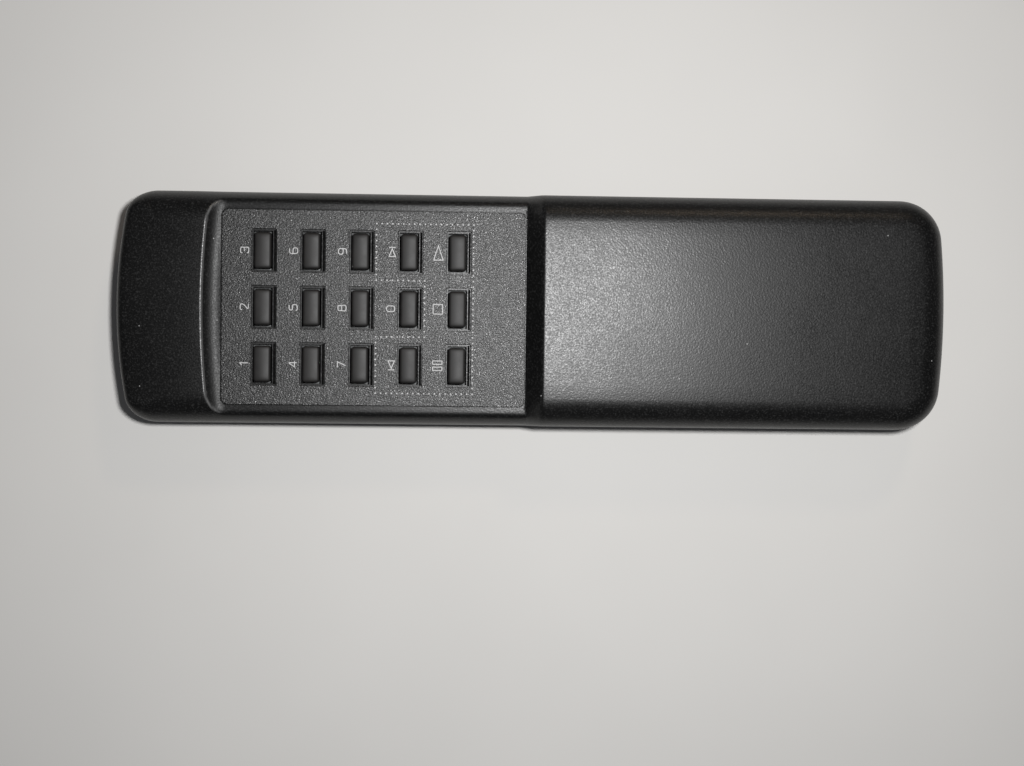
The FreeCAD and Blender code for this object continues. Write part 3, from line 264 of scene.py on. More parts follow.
class Nodes:
    """A material's node tree with short calls for the nodes that the finishes share."""

    def __init__(self, name):
        self.material = bpy.data.materials.new(name)
        self.material.use_nodes = True
        self.tree = self.material.node_tree
        self.shader = self.tree.nodes["Principled BSDF"]
        self.place = self.add("ShaderNodeTexCoord").outputs["Object"]

    def add(self, kind, **values):
        """A new node with the given settings."""
        node = self.tree.nodes.new(kind)
        for name, value in values.items():
            setattr(node, name, value)
        return node

    def link(self, source, target):
        """Joins an output to an input."""
        self.tree.links.new(source, target)

    def feed(self, socket, value):
        """Gives a socket its value, which may be another node's output."""
        if isinstance(value, bpy.types.NodeSocket):
            self.link(value, socket)
        else:
            socket.default_value = value

    def set(self, **values):
        """Sets the shader's sockets, named with underscores in place of spaces."""
        for name, value in values.items():
            socket = self.shader.inputs[name.replace("_", " ")]
            if isinstance(value, tuple) and len(value) == 3 and socket.type == "RGBA":
                value = value + (1.0,)
            self.feed(socket, value)

    def math(self, operation, first, second=0.0):
        """The result of one operation on two values."""
        node = self.add("ShaderNodeMath", operation=operation)
        self.feed(node.inputs[0], first)
        self.feed(node.inputs[1], second)
        return node.outputs[0]

    def stretch(self, factors):
        """The object's own coordinates, scaled along each axis."""
        node = self.add("ShaderNodeVectorMath", operation="MULTIPLY")
        self.link(self.place, node.inputs[0])
        node.inputs[1].default_value = factors
        return node.outputs["Vector"]

    def noise(self, size, detail=2.0, roughness=0.5, vector=None):
        """Noise whose features are about as large as the size, in metres."""
        node = self.add("ShaderNodeTexNoise")
        self.link(vector or self.place, node.inputs["Vector"])
        node.inputs["Scale"].default_value = 1 / size
        node.inputs["Detail"].default_value = detail
        node.inputs["Roughness"].default_value = roughness
        return node.outputs["Fac"]

    def remap(self, value, low, high, out_low=0.0, out_high=1.0):
        """A value moved from one range to another and kept within it."""
        node = self.add("ShaderNodeMapRange")
        self.link(value, node.inputs["Value"])
        node.inputs["From Min"].default_value = low
        node.inputs["From Max"].default_value = high
        node.inputs["To Min"].default_value = out_low
        node.inputs["To Max"].default_value = out_high
        return node.outputs["Result"]

    def spread(self, noise, low=0.0, high=1.0):
        """A noise stretched from its usual range to the given one."""
        return self.remap(noise, NOISE_LOW, NOISE_HIGH, low, high)

    def mix(self, factor, first, second):
        """A blend of two colours."""
        node = self.add("ShaderNodeMix", data_type="RGBA")
        self.feed(node.inputs[0], factor)
        for socket, color in ((node.inputs[6], first), (node.inputs[7], second)):
            if isinstance(color, tuple):
                color = color + (1.0,)
            self.feed(socket, color)
        return node.outputs[2]

    def bump(self, height, depth, strength=1.0, base=None):
        """A normal tilted by the slopes of a height, on top of another normal if there is one."""
        node = self.add("ShaderNodeBump")
        node.inputs["Distance"].default_value = depth
        node.inputs["Strength"].default_value = strength
        self.link(height, node.inputs["Height"])
        if base is not None:
            self.link(base, node.inputs["Normal"])
        return node.outputs["Normal"]

    def specks(self, cell, radius, share):
        """Sparse dots seen from above: one in some of the cells of a loose grid."""
        node = self.add("ShaderNodeTexVoronoi", voronoi_dimensions="2D")
        self.link(self.place, node.inputs["Vector"])
        node.inputs["Scale"].default_value = 1 / cell
        near = self.math("LESS_THAN", node.outputs["Distance"], radius / cell)
        split = self.add("ShaderNodeSeparateColor")
        self.link(node.outputs["Color"], split.inputs["Color"])
        chosen = self.math("LESS_THAN", split.outputs["Red"], share)
        return self.math("MULTIPLY", near, chosen)

    def dusted(self, base, cell, share, cover):
        """A colour with sparse pale specks of dust on it."""
        dust = self.specks(cell, DUST_RADIUS, share)
        return self.mix(self.math("MULTIPLY", dust, cover), base, grey(DUST_GREY))


def crest_highlight_and_roughness(n, base, shine):
    """The hood's crest gets a painted highlight, a pale grey mixed into its colour, and a lower roughness;
    the cove behind it is made rougher.
    """
    rub_and_highlight = n.add("ShaderNodeAttribute", attribute_name="rub_and_highlight").outputs["Fac"]
    dull = n.add("ShaderNodeAttribute", attribute_name="dull").outputs["Fac"]
    shine = n.math("ADD", shine, n.math("MULTIPLY", dull, DULL_ROUGHER))
    shine = n.math("SUBTRACT", shine, n.math("MULTIPLY", rub_and_highlight, RUB_SMOOTHER))
    # Painted highlight: the crest's colour is mixed towards a pale grey
    return n.mix(n.math("MULTIPLY", rub_and_highlight, CREST_HIGHLIGHT_COVER), base, grey(CREST_HIGHLIGHT_GREY)), shine


def grained_plastic(name, tone, roughness, grain, depth, painted_sparkle, glint, ior):
    """Black plastic moulded against a sparked tool, with handling marks, dust and painted sparkle: light
    grey specks in its colour stand in for glints of light on the grain.
    """
    n = Nodes(name)
    fine = n.noise(grain, 2.0, 0.6)
    other = n.noise(GLINT_GRAIN * grain, 1.0, 0.5, n.stretch(GLINT_STRETCH))
    coarse = n.noise(COARSE_GRAIN * grain, 2.0, 0.5)
    cloud = n.noise(CLOUD_SIZE, 3.0, 0.55)
    handling = n.noise(HANDLING_SIZE, 4.0, 0.7)
    base = n.mix(n.spread(cloud), grey(tone - TONE_SWING), grey(tone + TONE_SWING))
    # Painted sparkle: the grain's high points are mixed towards a light grey, as glints of light
    painted_sparks = n.remap(fine, PAINTED_SPARKLE_START, PAINTED_SPARKLE_FULL, 0.0, painted_sparkle)
    base = n.mix(painted_sparks, base, grey(tone + PAINTED_SPARKLE_GREY))
    base = n.dusted(base, CASE_DUST_CELL, CASE_DUST_SHARE, CASE_DUST_COVER)
    patches = n.spread(cloud, roughness - 0.02, roughness + 0.025)
    rubbed = n.remap(handling, HANDLING_START, HANDLING_FULL, 0.0, -HANDLING_SMOOTHER)
    glints = n.spread(other, glint, -glint)
    shine = n.math("ADD", n.math("ADD", patches, rubbed), glints)
    # The case's crest gets a painted highlight
    if name == "case_black":
        base, shine = crest_highlight_and_roughness(n, base, shine)
    n.set(Base_Color=base, Roughness=shine, IOR=ior)
    n.set(Normal=n.bump(fine, depth, 1.0, n.bump(coarse, depth, COARSE_BUMP)))
    return n.material


def key_rubber():
    """Smooth matt rubber with faint patches and a little dust."""
    n = Nodes("key_rubber")
    cloud = n.noise(3 * MM, 3.0, 0.6)
    fine = n.noise(0.25 * MM, 2.0, 0.5)
    base = n.mix(n.spread(cloud), *RUBBER_COLORS)
    base = n.dusted(base, KEY_DUST_CELL, KEY_DUST_SHARE, KEY_DUST_COVER)
    n.set(Base_Color=base, Roughness=n.spread(cloud, 0.50, 0.56), IOR=1.45)
    n.set(Normal=n.bump(fine, 0.006 * MM, 0.6))
    return n.material


def window_red():
    """Polished dark red plastic that looks almost black."""
    n = Nodes("window_red")
    cloud = n.noise(12 * MM)
    n.set(Base_Color=n.mix(n.spread(cloud), *WINDOW_COLORS))
    n.set(Roughness=n.remap(n.noise(2 * MM, 4.0), 0.4, 0.8, 0.06, 0.12), IOR=1.49)
    n.set(Transmission_Weight=0.35)
    return n.material


def plain_finish(name, low, high, roughness, size, metallic):
    """A finish that varies between two colours and roughness values over patches of a size."""
    n = Nodes(name)
    cloud = n.noise(size, 3.0, 0.6)
    n.set(Base_Color=n.mix(n.spread(cloud), low, high), Metallic=metallic)
    n.set(Roughness=n.spread(cloud, roughness - 0.05, roughness + 0.05))
    return n.material


def circuit_board():
    """Brown paper laminate under a green mask with pale tracks."""
    n = Nodes("board")
    waves = n.add("ShaderNodeTexWave", wave_type="BANDS", bands_direction="Y")
    n.link(n.place, waves.inputs["Vector"])
    waves.inputs["Scale"].default_value = TRACK_SCALE
    waves.inputs["Distortion"].default_value = TRACK_DISTORTION
    waves.inputs["Detail"].default_value = 1.0
    waves.inputs["Detail Scale"].default_value = TRACK_DETAIL_SCALE
    tracks = n.remap(waves.outputs["Fac"], TRACK_START, TRACK_FULL)
    n.set(Base_Color=n.mix(tracks, *BOARD_COLORS), Roughness=0.35)
    n.set(Normal=n.bump(tracks, 0.03 * MM, 0.8))
    return n.material


def white_ink():
    """Screen-printed ink, a little uneven."""
    n = Nodes("white_ink")
    fine = n.noise(0.3 * MM, 3.0, 0.6)
    n.set(Base_Color=n.mix(n.remap(fine, 0.35, 0.75), grey(INK_BRIGHT), grey(INK_WORN)))
    n.set(Roughness=0.55)
    n.set(Normal=n.bump(fine, 0.01 * MM, 0.6))
    return n.material


def cell_sleeve():
    """A plain printed sleeve: dark along most of the cell with a pale band at one end."""
    n = Nodes("cell_sleeve")
    split = n.add("ShaderNodeSeparateXYZ")
    n.link(n.place, split.inputs["Vector"])
    low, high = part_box("battery_1_jacket")
    band_start = low.x + (high.x - low.x) * SLEEVE_BAND_START
    band = n.remap(split.outputs["X"], band_start, band_start + SLEEVE_BAND_FADE)
    n.set(Base_Color=n.mix(band, *SLEEVE_COLORS))
    n.set(Roughness=n.spread(n.noise(4 * MM, 3.0), 0.22, 0.32))
    return n.material


def finishes():
    """One material for each of the record's material slots."""
    made = {
        "case_black": grained_plastic(
            "case_black", tone=10, roughness=0.36, grain=0.38 * MM, depth=0.034 * MM,
            painted_sparkle=0.35, glint=0.07, ior=1.42),
        "panel_black": grained_plastic(
            "panel_black", tone=16, roughness=0.39, grain=0.30 * MM, depth=0.115 * MM,
            painted_sparkle=1.0, glint=0.20, ior=1.56),
        "key_rubber": key_rubber(),
        "window_red": window_red(),
        "board": circuit_board(),
        "cell_sleeve": cell_sleeve(),
    }
    for name, low, high, roughness, size, metallic in PLAIN_FINISHES:
        made[name] = plain_finish(name, low, high, roughness, size, metallic)
    return made


def dress(made):
    """Puts its own finish on each CAD node's material slots."""
    for name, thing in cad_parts.items():
        for slot in thing.material_slots:
            base = slot.material.name.split(".")[0] if slot.material else ""
            if base in made:
                slot.material = made[base]
            else:
                print("no finish for", name, base)


def new_piece(name, mesh_builder, material, is_closed=True):
    """A mesh object from a function that fills a bmesh. An open skin keeps the way its faces look."""
    mesh = bpy.data.meshes.new(name)
    bm = bmesh.new()
    mesh_builder(bm)
    if is_closed:
        bmesh.ops.recalc_face_normals(bm, faces=bm.faces)
    bm.to_mesh(mesh)
    bm.free()
    thing = bpy.data.objects.new(name, mesh)
    bpy.context.scene.collection.objects.link(thing)
    mesh.materials.append(material)
    return thing


def join_rings(bm, low, high):
    """A band of four-sided faces between two rings that have as many corners."""
    for i in range(len(low)):
        bm.faces.new((low[i - 1], low[i], high[i], high[i - 1]))


def slab(bm, ring, z):
    """A thin flat slab whose outline is the ring of points."""
    low = [bm.verts.new((x, y, z)) for x, y in ring]
    high = [bm.verts.new((x, y, z + INK_THICKNESS)) for x, y in ring]
    bm.faces.new(high)
    bm.faces.new(low[::-1])
    join_rings(bm, low, high)


def side_points(points, width, closed):
    """The points on both sides of a line of the given width, with mitred corners."""
    left = []
    right = []
    count = len(points)
    for i, (x, y) in enumerate(points):
        before = points[i - 1] if closed or i > 0 else None
        after = points[(i + 1) % count] if closed or i < count - 1 else None
        ways = []
        for a, b in ((before, (x, y)), ((x, y), after)):
            if a is not None and b is not None:
                way = Vector((b[0] - a[0], b[1] - a[1]))
                ways.append(way.normalized())
        way = sum(ways, Vector((0, 0))).normalized()
        across = Vector((-way.y, way.x))
        reach = width / 2 / max(LEAST_MITRE, way.dot(ways[0]))
        left.append((x + across.x * reach, y + across.y * reach))
        right.append((x - across.x * reach, y - across.y * reach))
    return left, right


def stroke(bm, points, z, closed=False):
    """A printed line through the points, as a strip of four-sided faces with upright sides."""
    left, right = side_points(points, INK_WIDTH, closed)
    rows = []
    for (lx, ly), (rx, ry) in zip(left, right):
        corners = ((lx, ly, z), (lx, ly, z + INK_THICKNESS), (rx, ry, z + INK_THICKNESS), (rx, ry, z))
        rows.append([bm.verts.new(corner) for corner in corners])
    for i in range(0 if closed else 1, len(rows)):
        join_rings(bm, rows[i - 1], rows[i])
    if not closed:
        bm.faces.new(rows[0])
        bm.faces.new(rows[-1][::-1])


def rounded_path(corners, radius, closed=False):
    """The points of a line through the corners, with each corner rounded off."""
    corners = [Vector(corner) for corner in corners]
    count = len(corners)
    points = []
    for i, corner in enumerate(corners):
        if not closed and i in (0, count - 1):
            points.append(corner)
            continue
        ends = []
        for other in (corners[i - 1], corners[(i + 1) % count]):
            way = other - corner
            ends.append(corner + way.normalized() * min(radius, BEND_SHARE * way.length))
        for step in range(BEND_STEPS + 1):
            share = step / BEND_STEPS
            bend = ends[0] * (1 - share) ** 2 + corner * 2 * share * (1 - share) + ends[1] * share ** 2
            points.append(bend)
    return points


def frame_path(x0, y0, x1, y1, radius):
    """The points of a rounded rectangle."""
    return rounded_path([(x0, y0), (x1, y0), (x1, y1), (x0, y1)], radius, True)


def digit_strokes(digit):
    """The lines of a digit, as (points, closed), with the origin at its lower left."""
    w = DIGIT_WIDTH
    h = DIGIT_HEIGHT
    bend = 0.42 * w
    ink = INK_WIDTH / 2
    waist = 0.54 * h
    if digit == 9:
        turned = []
        for points, closed in digit_strokes(6):
            turned.append(([(w - x, h - y) for x, y in points], closed))
        return turned
    if digit == 0:
        return [(frame_path(0, 0, w, h, bend), True)]
    if digit == 8:
        sides = [(0, 0), (w, 0), (w, 0.44 * h), (0.88 * w, waist), (0.96 * w, 0.64 * h), (0.96 * w, h)]
        sides += [(w - x, y) for x, y in sides[:1:-1]]
        middle = [(0.12 * w + ink, waist), (0.88 * w - ink, waist)]
        return [(rounded_path(sides, bend, True), True), (middle, False)]
    if digit == 3:
        side = [(0, 0.78 * h), (0, h), (w, h), (w, 0.64 * h), (0.88 * w, waist), (w, 0.44 * h), (w, 0)]
        side += [(0, 0), (0, 0.22 * h)]
        middle = [(0.36 * w, waist), (0.88 * w - ink, waist)]
        return [(rounded_path(side, bend), False), (middle, False)]
    if digit == 4:
        post = 0.74 * w
        foot = 0.28 * h
        slope = [(post - ink, 0.98 * h), (0, foot), (post - ink, foot)]
        return [([(post, 0), (post, h)], False), (slope, False), ([(post + ink, foot), (w, foot)], False)]
    if digit == 1:
        return [([(0.2 * w, 0.76 * h), (0.62 * w, h), (0.62 * w, 0)], False)]
    if digit == 7:
        return [([(0, h), (w, h), (0.34 * w, 0)], False)]
    corners = {
        2: [(0, 0.76 * h), (0, h), (w, h), (w, 0.6 * h), (0, 0), (w, 0)],
        5: [(0.92 * w, h), (0.06 * w, h), (0.02 * w, 0.56 * h), (w, 0.62 * h), (w, 0), (0, 0), (0, 0.2 * h)],
        6: [(0.88 * w, h), (0, h), (0, 0), (w, 0), (w, 0.58 * h), (ink, 0.58 * h)],
    }
    return [(rounded_path(corners[digit], bend), False)]


def key_middle(name):
    """The middle of a key's box."""
    low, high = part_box("key_" + name)
    return (low + high) / 2


def on_panel(points, middle_x, middle_y, half_w, half_h):
    """Turns a legend so that its top is towards the nose, round its middle."""
    return [(middle_x - (v - half_h), middle_y + (u - half_w)) for u, v in points]


def digit_legend(number, name, z):
    """Builds one printed digit beside its key."""
    place = key_middle(name)

    def build(bm):
        for points, closed in digit_strokes(number):
            turned = on_panel(points, place.x - DIGIT_GAP, place.y, DIGIT_WIDTH / 2, DIGIT_HEIGHT / 2)
            stroke(bm, turned, z, closed)

    return build


def triangle(apex_y, base_y, half_base, x):
    """The corners of a triangle that points along Y."""
    return [(x - half_base, base_y), (x, apex_y), (x + half_base, base_y)]


def command_legend(name, z):
    """Builds the printed symbol of a transport key."""
    place = key_middle(name)
    x = place.x - (SKIP_SYMBOL_GAP if name in ("previous", "next") else WIDE_SYMBOL_GAP)
    y = place.y

    def build(bm):
        if name in ("previous", "next"):
            way = 1 if name == "next" else -1
            apex = y + way * SKIP_REACH * SKIP_APEX
            stroke(bm, triangle(apex, y - way * SKIP_REACH, SKIP_HALF, x), z, True)
            stop_line = y + way * (SKIP_REACH + INK_WIDTH * SKIP_BAR_OFFSET)
            stroke(bm, [(x - SKIP_HALF, stop_line), (x + SKIP_HALF, stop_line)], z)
        elif name == "play":
            stroke(bm, triangle(y + PLAY_REACH, y - PLAY_REACH, PLAY_HALF, x), z, True)
        elif name == "stop":
            square = (x - STOP_HALF, y - STOP_HALF, x + STOP_HALF, y + STOP_HALF)
            stroke(bm, frame_path(*square, INK_WIDTH / 2), z, True)
        else:
            for side in (-1, 1):
                middle = y + side * PAUSE_OFFSET
                block = (x - STOP_HALF, middle - PAUSE_HALF, x + STOP_HALF, middle + PAUSE_HALF)
                stroke(bm, frame_path(*block, INK_WIDTH / 2), z, True)

    return build


def dotted_outline(z):
    """Builds the dots round the transport keys, which leave the zero key out."""
    zero = key_middle("zero")
    stop = key_middle("stop")
    above = key_middle("next")
    pitch_x = (stop.x - zero.x) / DOTS_PER_COLUMN
    pitch_y = (above.y - zero.y) / DOTS_PER_ROW
    left = zero.x - DOT_LINE_SETBACK
    half_row = DOTS_PER_ROW // 2
    places = set()
    for column in range(2 * DOTS_PER_COLUMN + 1):
        places.add((column, 3 * half_row))
        places.add((column, -3 * half_row))
    for row in range(-3 * half_row, 3 * half_row + 1):
        places.add((2 * DOTS_PER_COLUMN, row))
        if abs(row) >= half_row:
            places.add((0, row))
        else:
            places.add((DOTS_PER_COLUMN, row))
    for column in range(DOTS_PER_COLUMN + 1):
        places.add((column, half_row))
        places.add((column, -half_row))

    def build(bm):
        for column, row in sorted(places):
            x = left + column * pitch_x
            y = zero.y + row * pitch_y
            ring = []
            for side in range(DOT_SIDES):
                angle = math.tau * side / DOT_SIDES
                ring.append((x + DOT_RADIUS * math.cos(angle), y + DOT_RADIUS * math.sin(angle)))
            slab(bm, ring, z)

    return build


def add_legends(ink):
    """The printing on the key panel, one piece for each legend."""
    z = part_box("key_panel")[1].z
    pieces = []
    for number, name in enumerate(DIGIT_KEYS):
        pieces.append(new_piece("legend_" + name, digit_legend(number, name, z), ink))
    for name in COMMAND_KEYS:
        pieces.append(new_piece("legend_" + name, command_legend(name, z), ink))
    pieces.append(new_piece("legend_dots", dotted_outline(z), ink))
    for piece in pieces:
        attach(piece, "case")


def end_shape(way, tip, bow, corner):
    """One end of the case's outline: its direction, and the centres and radii of its arcs."""
    bow_x = tip - way * bow
    corner_y = CASE_HIGH.y - corner
    corner_x = bow_x + way * math.sqrt((bow - corner) ** 2 - corner_y ** 2)
    return way, bow_x, bow, corner_x, corner_y, corner


ENDS = (
    end_shape(-1, CASE_LOW.x, NOSE_BOW, NOSE_CORNER),
    end_shape(1, CASE_HIGH.x, TAIL_BOW, TAIL_CORNER),
)
NOSE_CORNER_X = ENDS[0][3]
TAIL_CORNER_X = ENDS[1][3]


def inset_at(x, y):
    """How far a place is inside the outline, and how far round from the side to the end."""
    y = abs(y)
    inset = CASE_HIGH.y - y
    share = 0.0
    for way, bow_x, bow, corner_x, corner_y, corner in ENDS:
        along = way * (x - corner_x)
        if along <= 0:
            continue
        across = y - corner_y
        end_along = way * (corner_x - bow_x)
        if end_along * across > corner_y * along:
            full_turn = math.atan2(end_along, corner_y)
            share = math.atan2(along, across) / full_turn
            return corner - math.hypot(along, across), share * share * (3 - 2 * share)
        end_inset = bow - math.hypot(x - bow_x, y)
        if end_inset < inset:
            inset = end_inset
            share = 1.0
    return inset, share


def rim_radius(x, share):
    """The rounding of the rim: tight round the nose, wider along the hood and the housing."""
    if x > STEP_X:
        return HOUSING_EDGE_RADIUS
    forward = min(1.0, max(0.0, (DECK_X - x) / (DECK_X - NOSE_CORNER_X)))
    side = HOOD_SIDE_RADIUS + (HOOD_CORNER_RADIUS - HOOD_SIDE_RADIUS) * forward
    return side + (HOOD_NOSE_RADIUS - side) * share


def rounded_off(top, inset, radius):
    """A height with its rim rounded off, at a place that far inside the outline."""
    if inset >= radius:
        return top
    return top - radius + math.sqrt(max(0.0, radius ** 2 - (radius - inset) ** 2))


def soft_min(first, second, softness):
    """The lower of two heights, with the edge between them rounded."""
    near = max(softness - abs(first - second), 0.0) / softness
    return min(first, second) - near * near * softness / 4


def front_heights(x, y):
    """The heights of the hood's skin and of the cove behind it, which cross at the crest."""
    inset, share = inset_at(x, y)
    turn_r = math.hypot(x - DECK_X - COVE_BOW, y)
    crest_r = COVE_BOW + math.sqrt(COVE_RADIUS ** 2 - (COVE_RADIUS - HOOD_RISE) ** 2)
    fall = math.sqrt(HOOD_TOP_RADIUS ** 2 - max(0.0, turn_r - crest_r) ** 2) - HOOD_TOP_RADIUS
    hood = rounded_off(DECK_Z + HOOD_RISE + fall, inset, rim_radius(min(x, STEP_X), share))
    curl = min(max(0.0, turn_r - COVE_BOW), COVE_END * COVE_RADIUS)
    return hood, DECK_Z + COVE_RADIUS - math.sqrt(COVE_RADIUS ** 2 - curl ** 2)


def case_height(x, y):
    """The height of the upper case's outside over a place."""
    hood, cove = front_heights(x, y)
    front = soft_min(hood, cove, CREST_SOFTNESS)
    if x <= STEP_X:
        return front
    housing = rounded_off(CASE_HIGH.z, inset_at(x, y)[0], HOUSING_EDGE_RADIUS)
    return front + (housing - front) * soft_min((x - STEP_X) / STEP_RUN, 1.0, STEP_SOFTNESS)


def crest_marks(x, y):
    """How much a place of the skin belongs to the crest, and how much to the cove behind it."""
    hood, cove = front_heights(x, y)
    on_crest = max(0.0, 1 - abs(hood - cove) / CREST_BAND_WIDTH)
    above_deck = min(1.0, max(0.0, min(hood, cove) - DECK_Z) / CREST_BAND_WIDTH)
    behind_crest = min(1.0, max(0.0, hood - cove) / CREST_BAND_WIDTH)
    off_deck = min(1.0, max(0.0, cove - DECK_Z) / DULL_START)
    return on_crest * above_deck, behind_crest * off_deck


def spaced(low, high, spacing):
    """Values from low to high, about as far apart as the spacing."""
    count = max(1, round((high - low) / spacing))
    return [low + (high - low) * i / count for i in range(count + 1)]


def side_stations():
    """Places along the straight sides, close together at the crest and the step."""
    marks = (
        (NOSE_CORNER_X, HOOD_SPACING),
        (DECK_X - CREST_BEFORE, CREST_SPACING),
        (DECK_X + CREST_AFTER, DECK_SPACING),
        (STEP_X - STEP_BEFORE, STEP_SPACING),
        (STEP_X + STEP_AFTER, HOUSING_SPACING),
        (TAIL_CORNER_X, None),
    )
    stations = []
    for (low, spacing), (high, _) in zip(marks, marks[1:]):
        stations += spaced(low, high, spacing)[:-1]
    return stations + [TAIL_CORNER_X]


def half_outline():
    """The outline from the nose's middle round one side to the tail's middle, with its normals."""
    points = []
    for way, bow_x, bow, corner_x, corner_y, corner in ENDS:
        full = math.atan2(corner_y, way * (corner_x - bow_x))
        run = []
        for turn in spaced(0, full, full / BOW_PARTS)[:-1]:
            normal = (way * math.cos(turn), math.sin(turn))
            run.append((bow_x + bow * normal[0], bow * normal[1], normal))
        for turn in spaced(full, math.pi / 2, math.pi / CORNER_PARTS)[:-1]:
            normal = (way * math.cos(turn), math.sin(turn))
            run.append((corner_x + corner * normal[0], corner_y + corner * normal[1], normal))
        if way < 0:
            points = run + [(x, CASE_HIGH.y, (0, 1)) for x in side_stations()]
        else:
            points += run[::-1]
    return points


def in_frame(x, y, x0, y0, x1, y1, radius=0.0):
    """Whether a place lies within a rectangle with rounded corners."""
    if not (x0 < x < x1 and y0 < y < y1):
        return False
    over_x = max(x0 + radius - x, x - x1 + radius, 0.0)
    over_y = max(y0 + radius - y, y - y1 + radius, 0.0)
    return radius == 0.0 or math.hypot(over_x, over_y) < radius


def recess():
    """The panel's recess, as its ends along X and Y."""
    low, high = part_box("key_panel")
    return widened((low.x, low.y, high.x, high.y), PANEL_GROOVE)


def widened(rectangle, reach):
    """A rectangle, given by its ends along X and Y, grown by a length on each side."""
    x0, y0, x1, y1 = rectangle
    return x0 - reach, y0 - reach, x1 + reach, y1 + reach


def rim_places(outline):
    """Places where the rim's rounding turns by the chosen angles, but none close to the outline."""
    places = []
    for x, y, normal in outline:
        share = inset_at(x - INWARD_STEP * normal[0], y - INWARD_STEP * normal[1])[1]
        radius = rim_radius(x, share)
        for angle in RIM_ANGLES_DEG:
            depth = radius * (1 - math.cos(math.radians(angle)))
            place = (x - normal[0] * depth, y - normal[1] * depth)
            if inset_at(*place)[0] >= LEAST_INSET:
                places.append(place)
    return places


def inner_places():
    """Places inside the rim, in arcs along the crest and in rows over the step and the housing."""
    places = []
    axis_x = DECK_X + COVE_BOW
    for start, end, spacing in ARC_RUNS:
        for radius in spaced(COVE_BOW + start, COVE_BOW + end, spacing):
            for y in spaced(0, CASE_HIGH.y, ARC_ACROSS):
                places.append((axis_x - math.sqrt(radius ** 2 - y ** 2), y))
    for start, end, spacing in STEP_RUNS:
        for x in spaced(start, end, spacing):
            for y in spaced(0, CASE_HIGH.y, STEP_ACROSS):
                places.append((x, y))
    kept = []
    for x, y in places:
        inset, share = inset_at(x, y)
        if inset > rim_radius(x, share) + PLACE_MARGIN:
            kept.append((x, y))
    return kept


def triangulated(points, loops):
    """Triangles between the points, which keep the sides of each loop, a (start, count) pair."""
    edges = []
    for start, count in loops:
        edges += [(start + i, start + (i + 1) % count) for i in range(count)]
    places, _, faces, _, _, _ = delaunay_2d_cdt(points, edges, [], 0, MERGE_DISTANCE)
    middles = [sum((places[i] for i in face), Vector((0, 0))) / len(face) for face in faces]
    return places, list(zip(faces, middles))


def upper_shell(bm):
    """The outside of the upper case: a skin over its outline, with walls down to the parting."""
    half = half_outline()
    rim = [(x, y) for x, y, _ in half]
    rim += [(x, -y) for x, y in rim[-2:0:-1]]
    rim = rim[::-1]
    opening = recess()
    hole = divided(frame_path(*opening, PANEL_CORNER), RECESS_PARTS)
    places = rim_places(half) + inner_places()
    bare = widened(opening, PLACE_MARGIN)
    places = [place for place in places if not in_frame(*place, *bare)]
    places += [(x, -y) for x, y in places if y > MIDDLE_MARGIN]
    loops = ((0, len(rim)), (len(rim), len(hole)))
    places, faces = triangulated([Vector(place) for place in rim + hole + places], loops)
    # The crest's share carries a painted highlight and a lower roughness, the cove's share a higher
    # roughness
    marks = (bm.verts.layers.float.new("rub_and_highlight"), bm.verts.layers.float.new("dull"))
    made = [bm.verts.new((place.x, place.y, case_height(place.x, place.y))) for place in places]
    for vert in made:
        vert[marks[0]], vert[marks[1]] = crest_marks(vert.co.x, vert.co.y)
    for face, middle in faces:
        if not in_frame(middle.x, middle.y, *opening, PANEL_CORNER):
            bm.faces.new([made[i] for i in face])
    outer = made[:len(rim)]
    join_rings(bm, [bm.verts.new((vert.co.x, vert.co.y, CASE_LOW.z)) for vert in outer], outer)
    inner = [bm.verts.new(vert.co) for vert in made[len(rim):len(rim) + len(hole)]]
    seat_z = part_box("key_panel")[0].z
    join_rings(bm, [bm.verts.new((vert.co.x, vert.co.y, seat_z)) for vert in inner], inner)


def plate(bm, outer, holes, low, high, bevel=0.0, hole_bevel=0.0):
    """A flat plate between two heights, with rounded outer corners, rounded holes and bevels."""
    wide_holes = [widened(hole, hole_bevel) for hole in holes]
    loops = [frame_path(*outer, PANEL_CORNER)] + [frame_path(*hole, HOLE_CORNER) for hole in holes]
    tops = [frame_path(*widened(outer, -bevel), PANEL_CORNER)]
    tops += [frame_path(*hole, HOLE_CORNER) for hole in wide_holes]
    count = len(loops[0])
    starts = range(0, count * len(loops), count)
    points = [point for loop in tops for point in loop]
    places, faces = triangulated(points, [(start, count) for start in starts])
    high_verts = [bm.verts.new((place.x, place.y, high)) for place in places]
    low_verts = [bm.verts.new((point.x, point.y, low)) for loop in loops for point in loop]
    for face, middle in faces:
        if not any(in_frame(middle.x, middle.y, *hole, HOLE_CORNER) for hole in wide_holes):
            bm.faces.new([high_verts[i] for i in face])
            bm.faces.new([low_verts[i] for i in reversed(face)])
    for start, loop, drop in zip(starts, loops, [bevel] + [hole_bevel] * len(holes)):
        ring = high_verts[start:start + count]
        if drop:
            edge = [bm.verts.new((point.x, point.y, high - drop)) for point in loop]
            join_rings(bm, edge, ring)
            ring = edge
        join_rings(bm, low_verts[start:start + count], ring)


def divided(loop, parts):
    """A rounded rectangle's path with its straight sides cut into parts."""
    per_corner = len(loop) // 4
    result = []
    for i, place in enumerate(loop):
        result.append(place)
        if (i + 1) % per_corner == 0:
            following = loop[(i + 1) % len(loop)]
            result += [place.lerp(following, k / parts) for k in range(1, parts)]
    return result


def key_frame(name, front, rear, side):
    """A rectangle round a key, with room in front of it, behind it and at its sides."""
    place = key_middle(name)
    return (
        place.x - KEY_HALF_X - front, place.y - KEY_HALF_Y - side,
        place.x + KEY_HALF_X + rear, place.y + KEY_HALF_Y + side,
    )


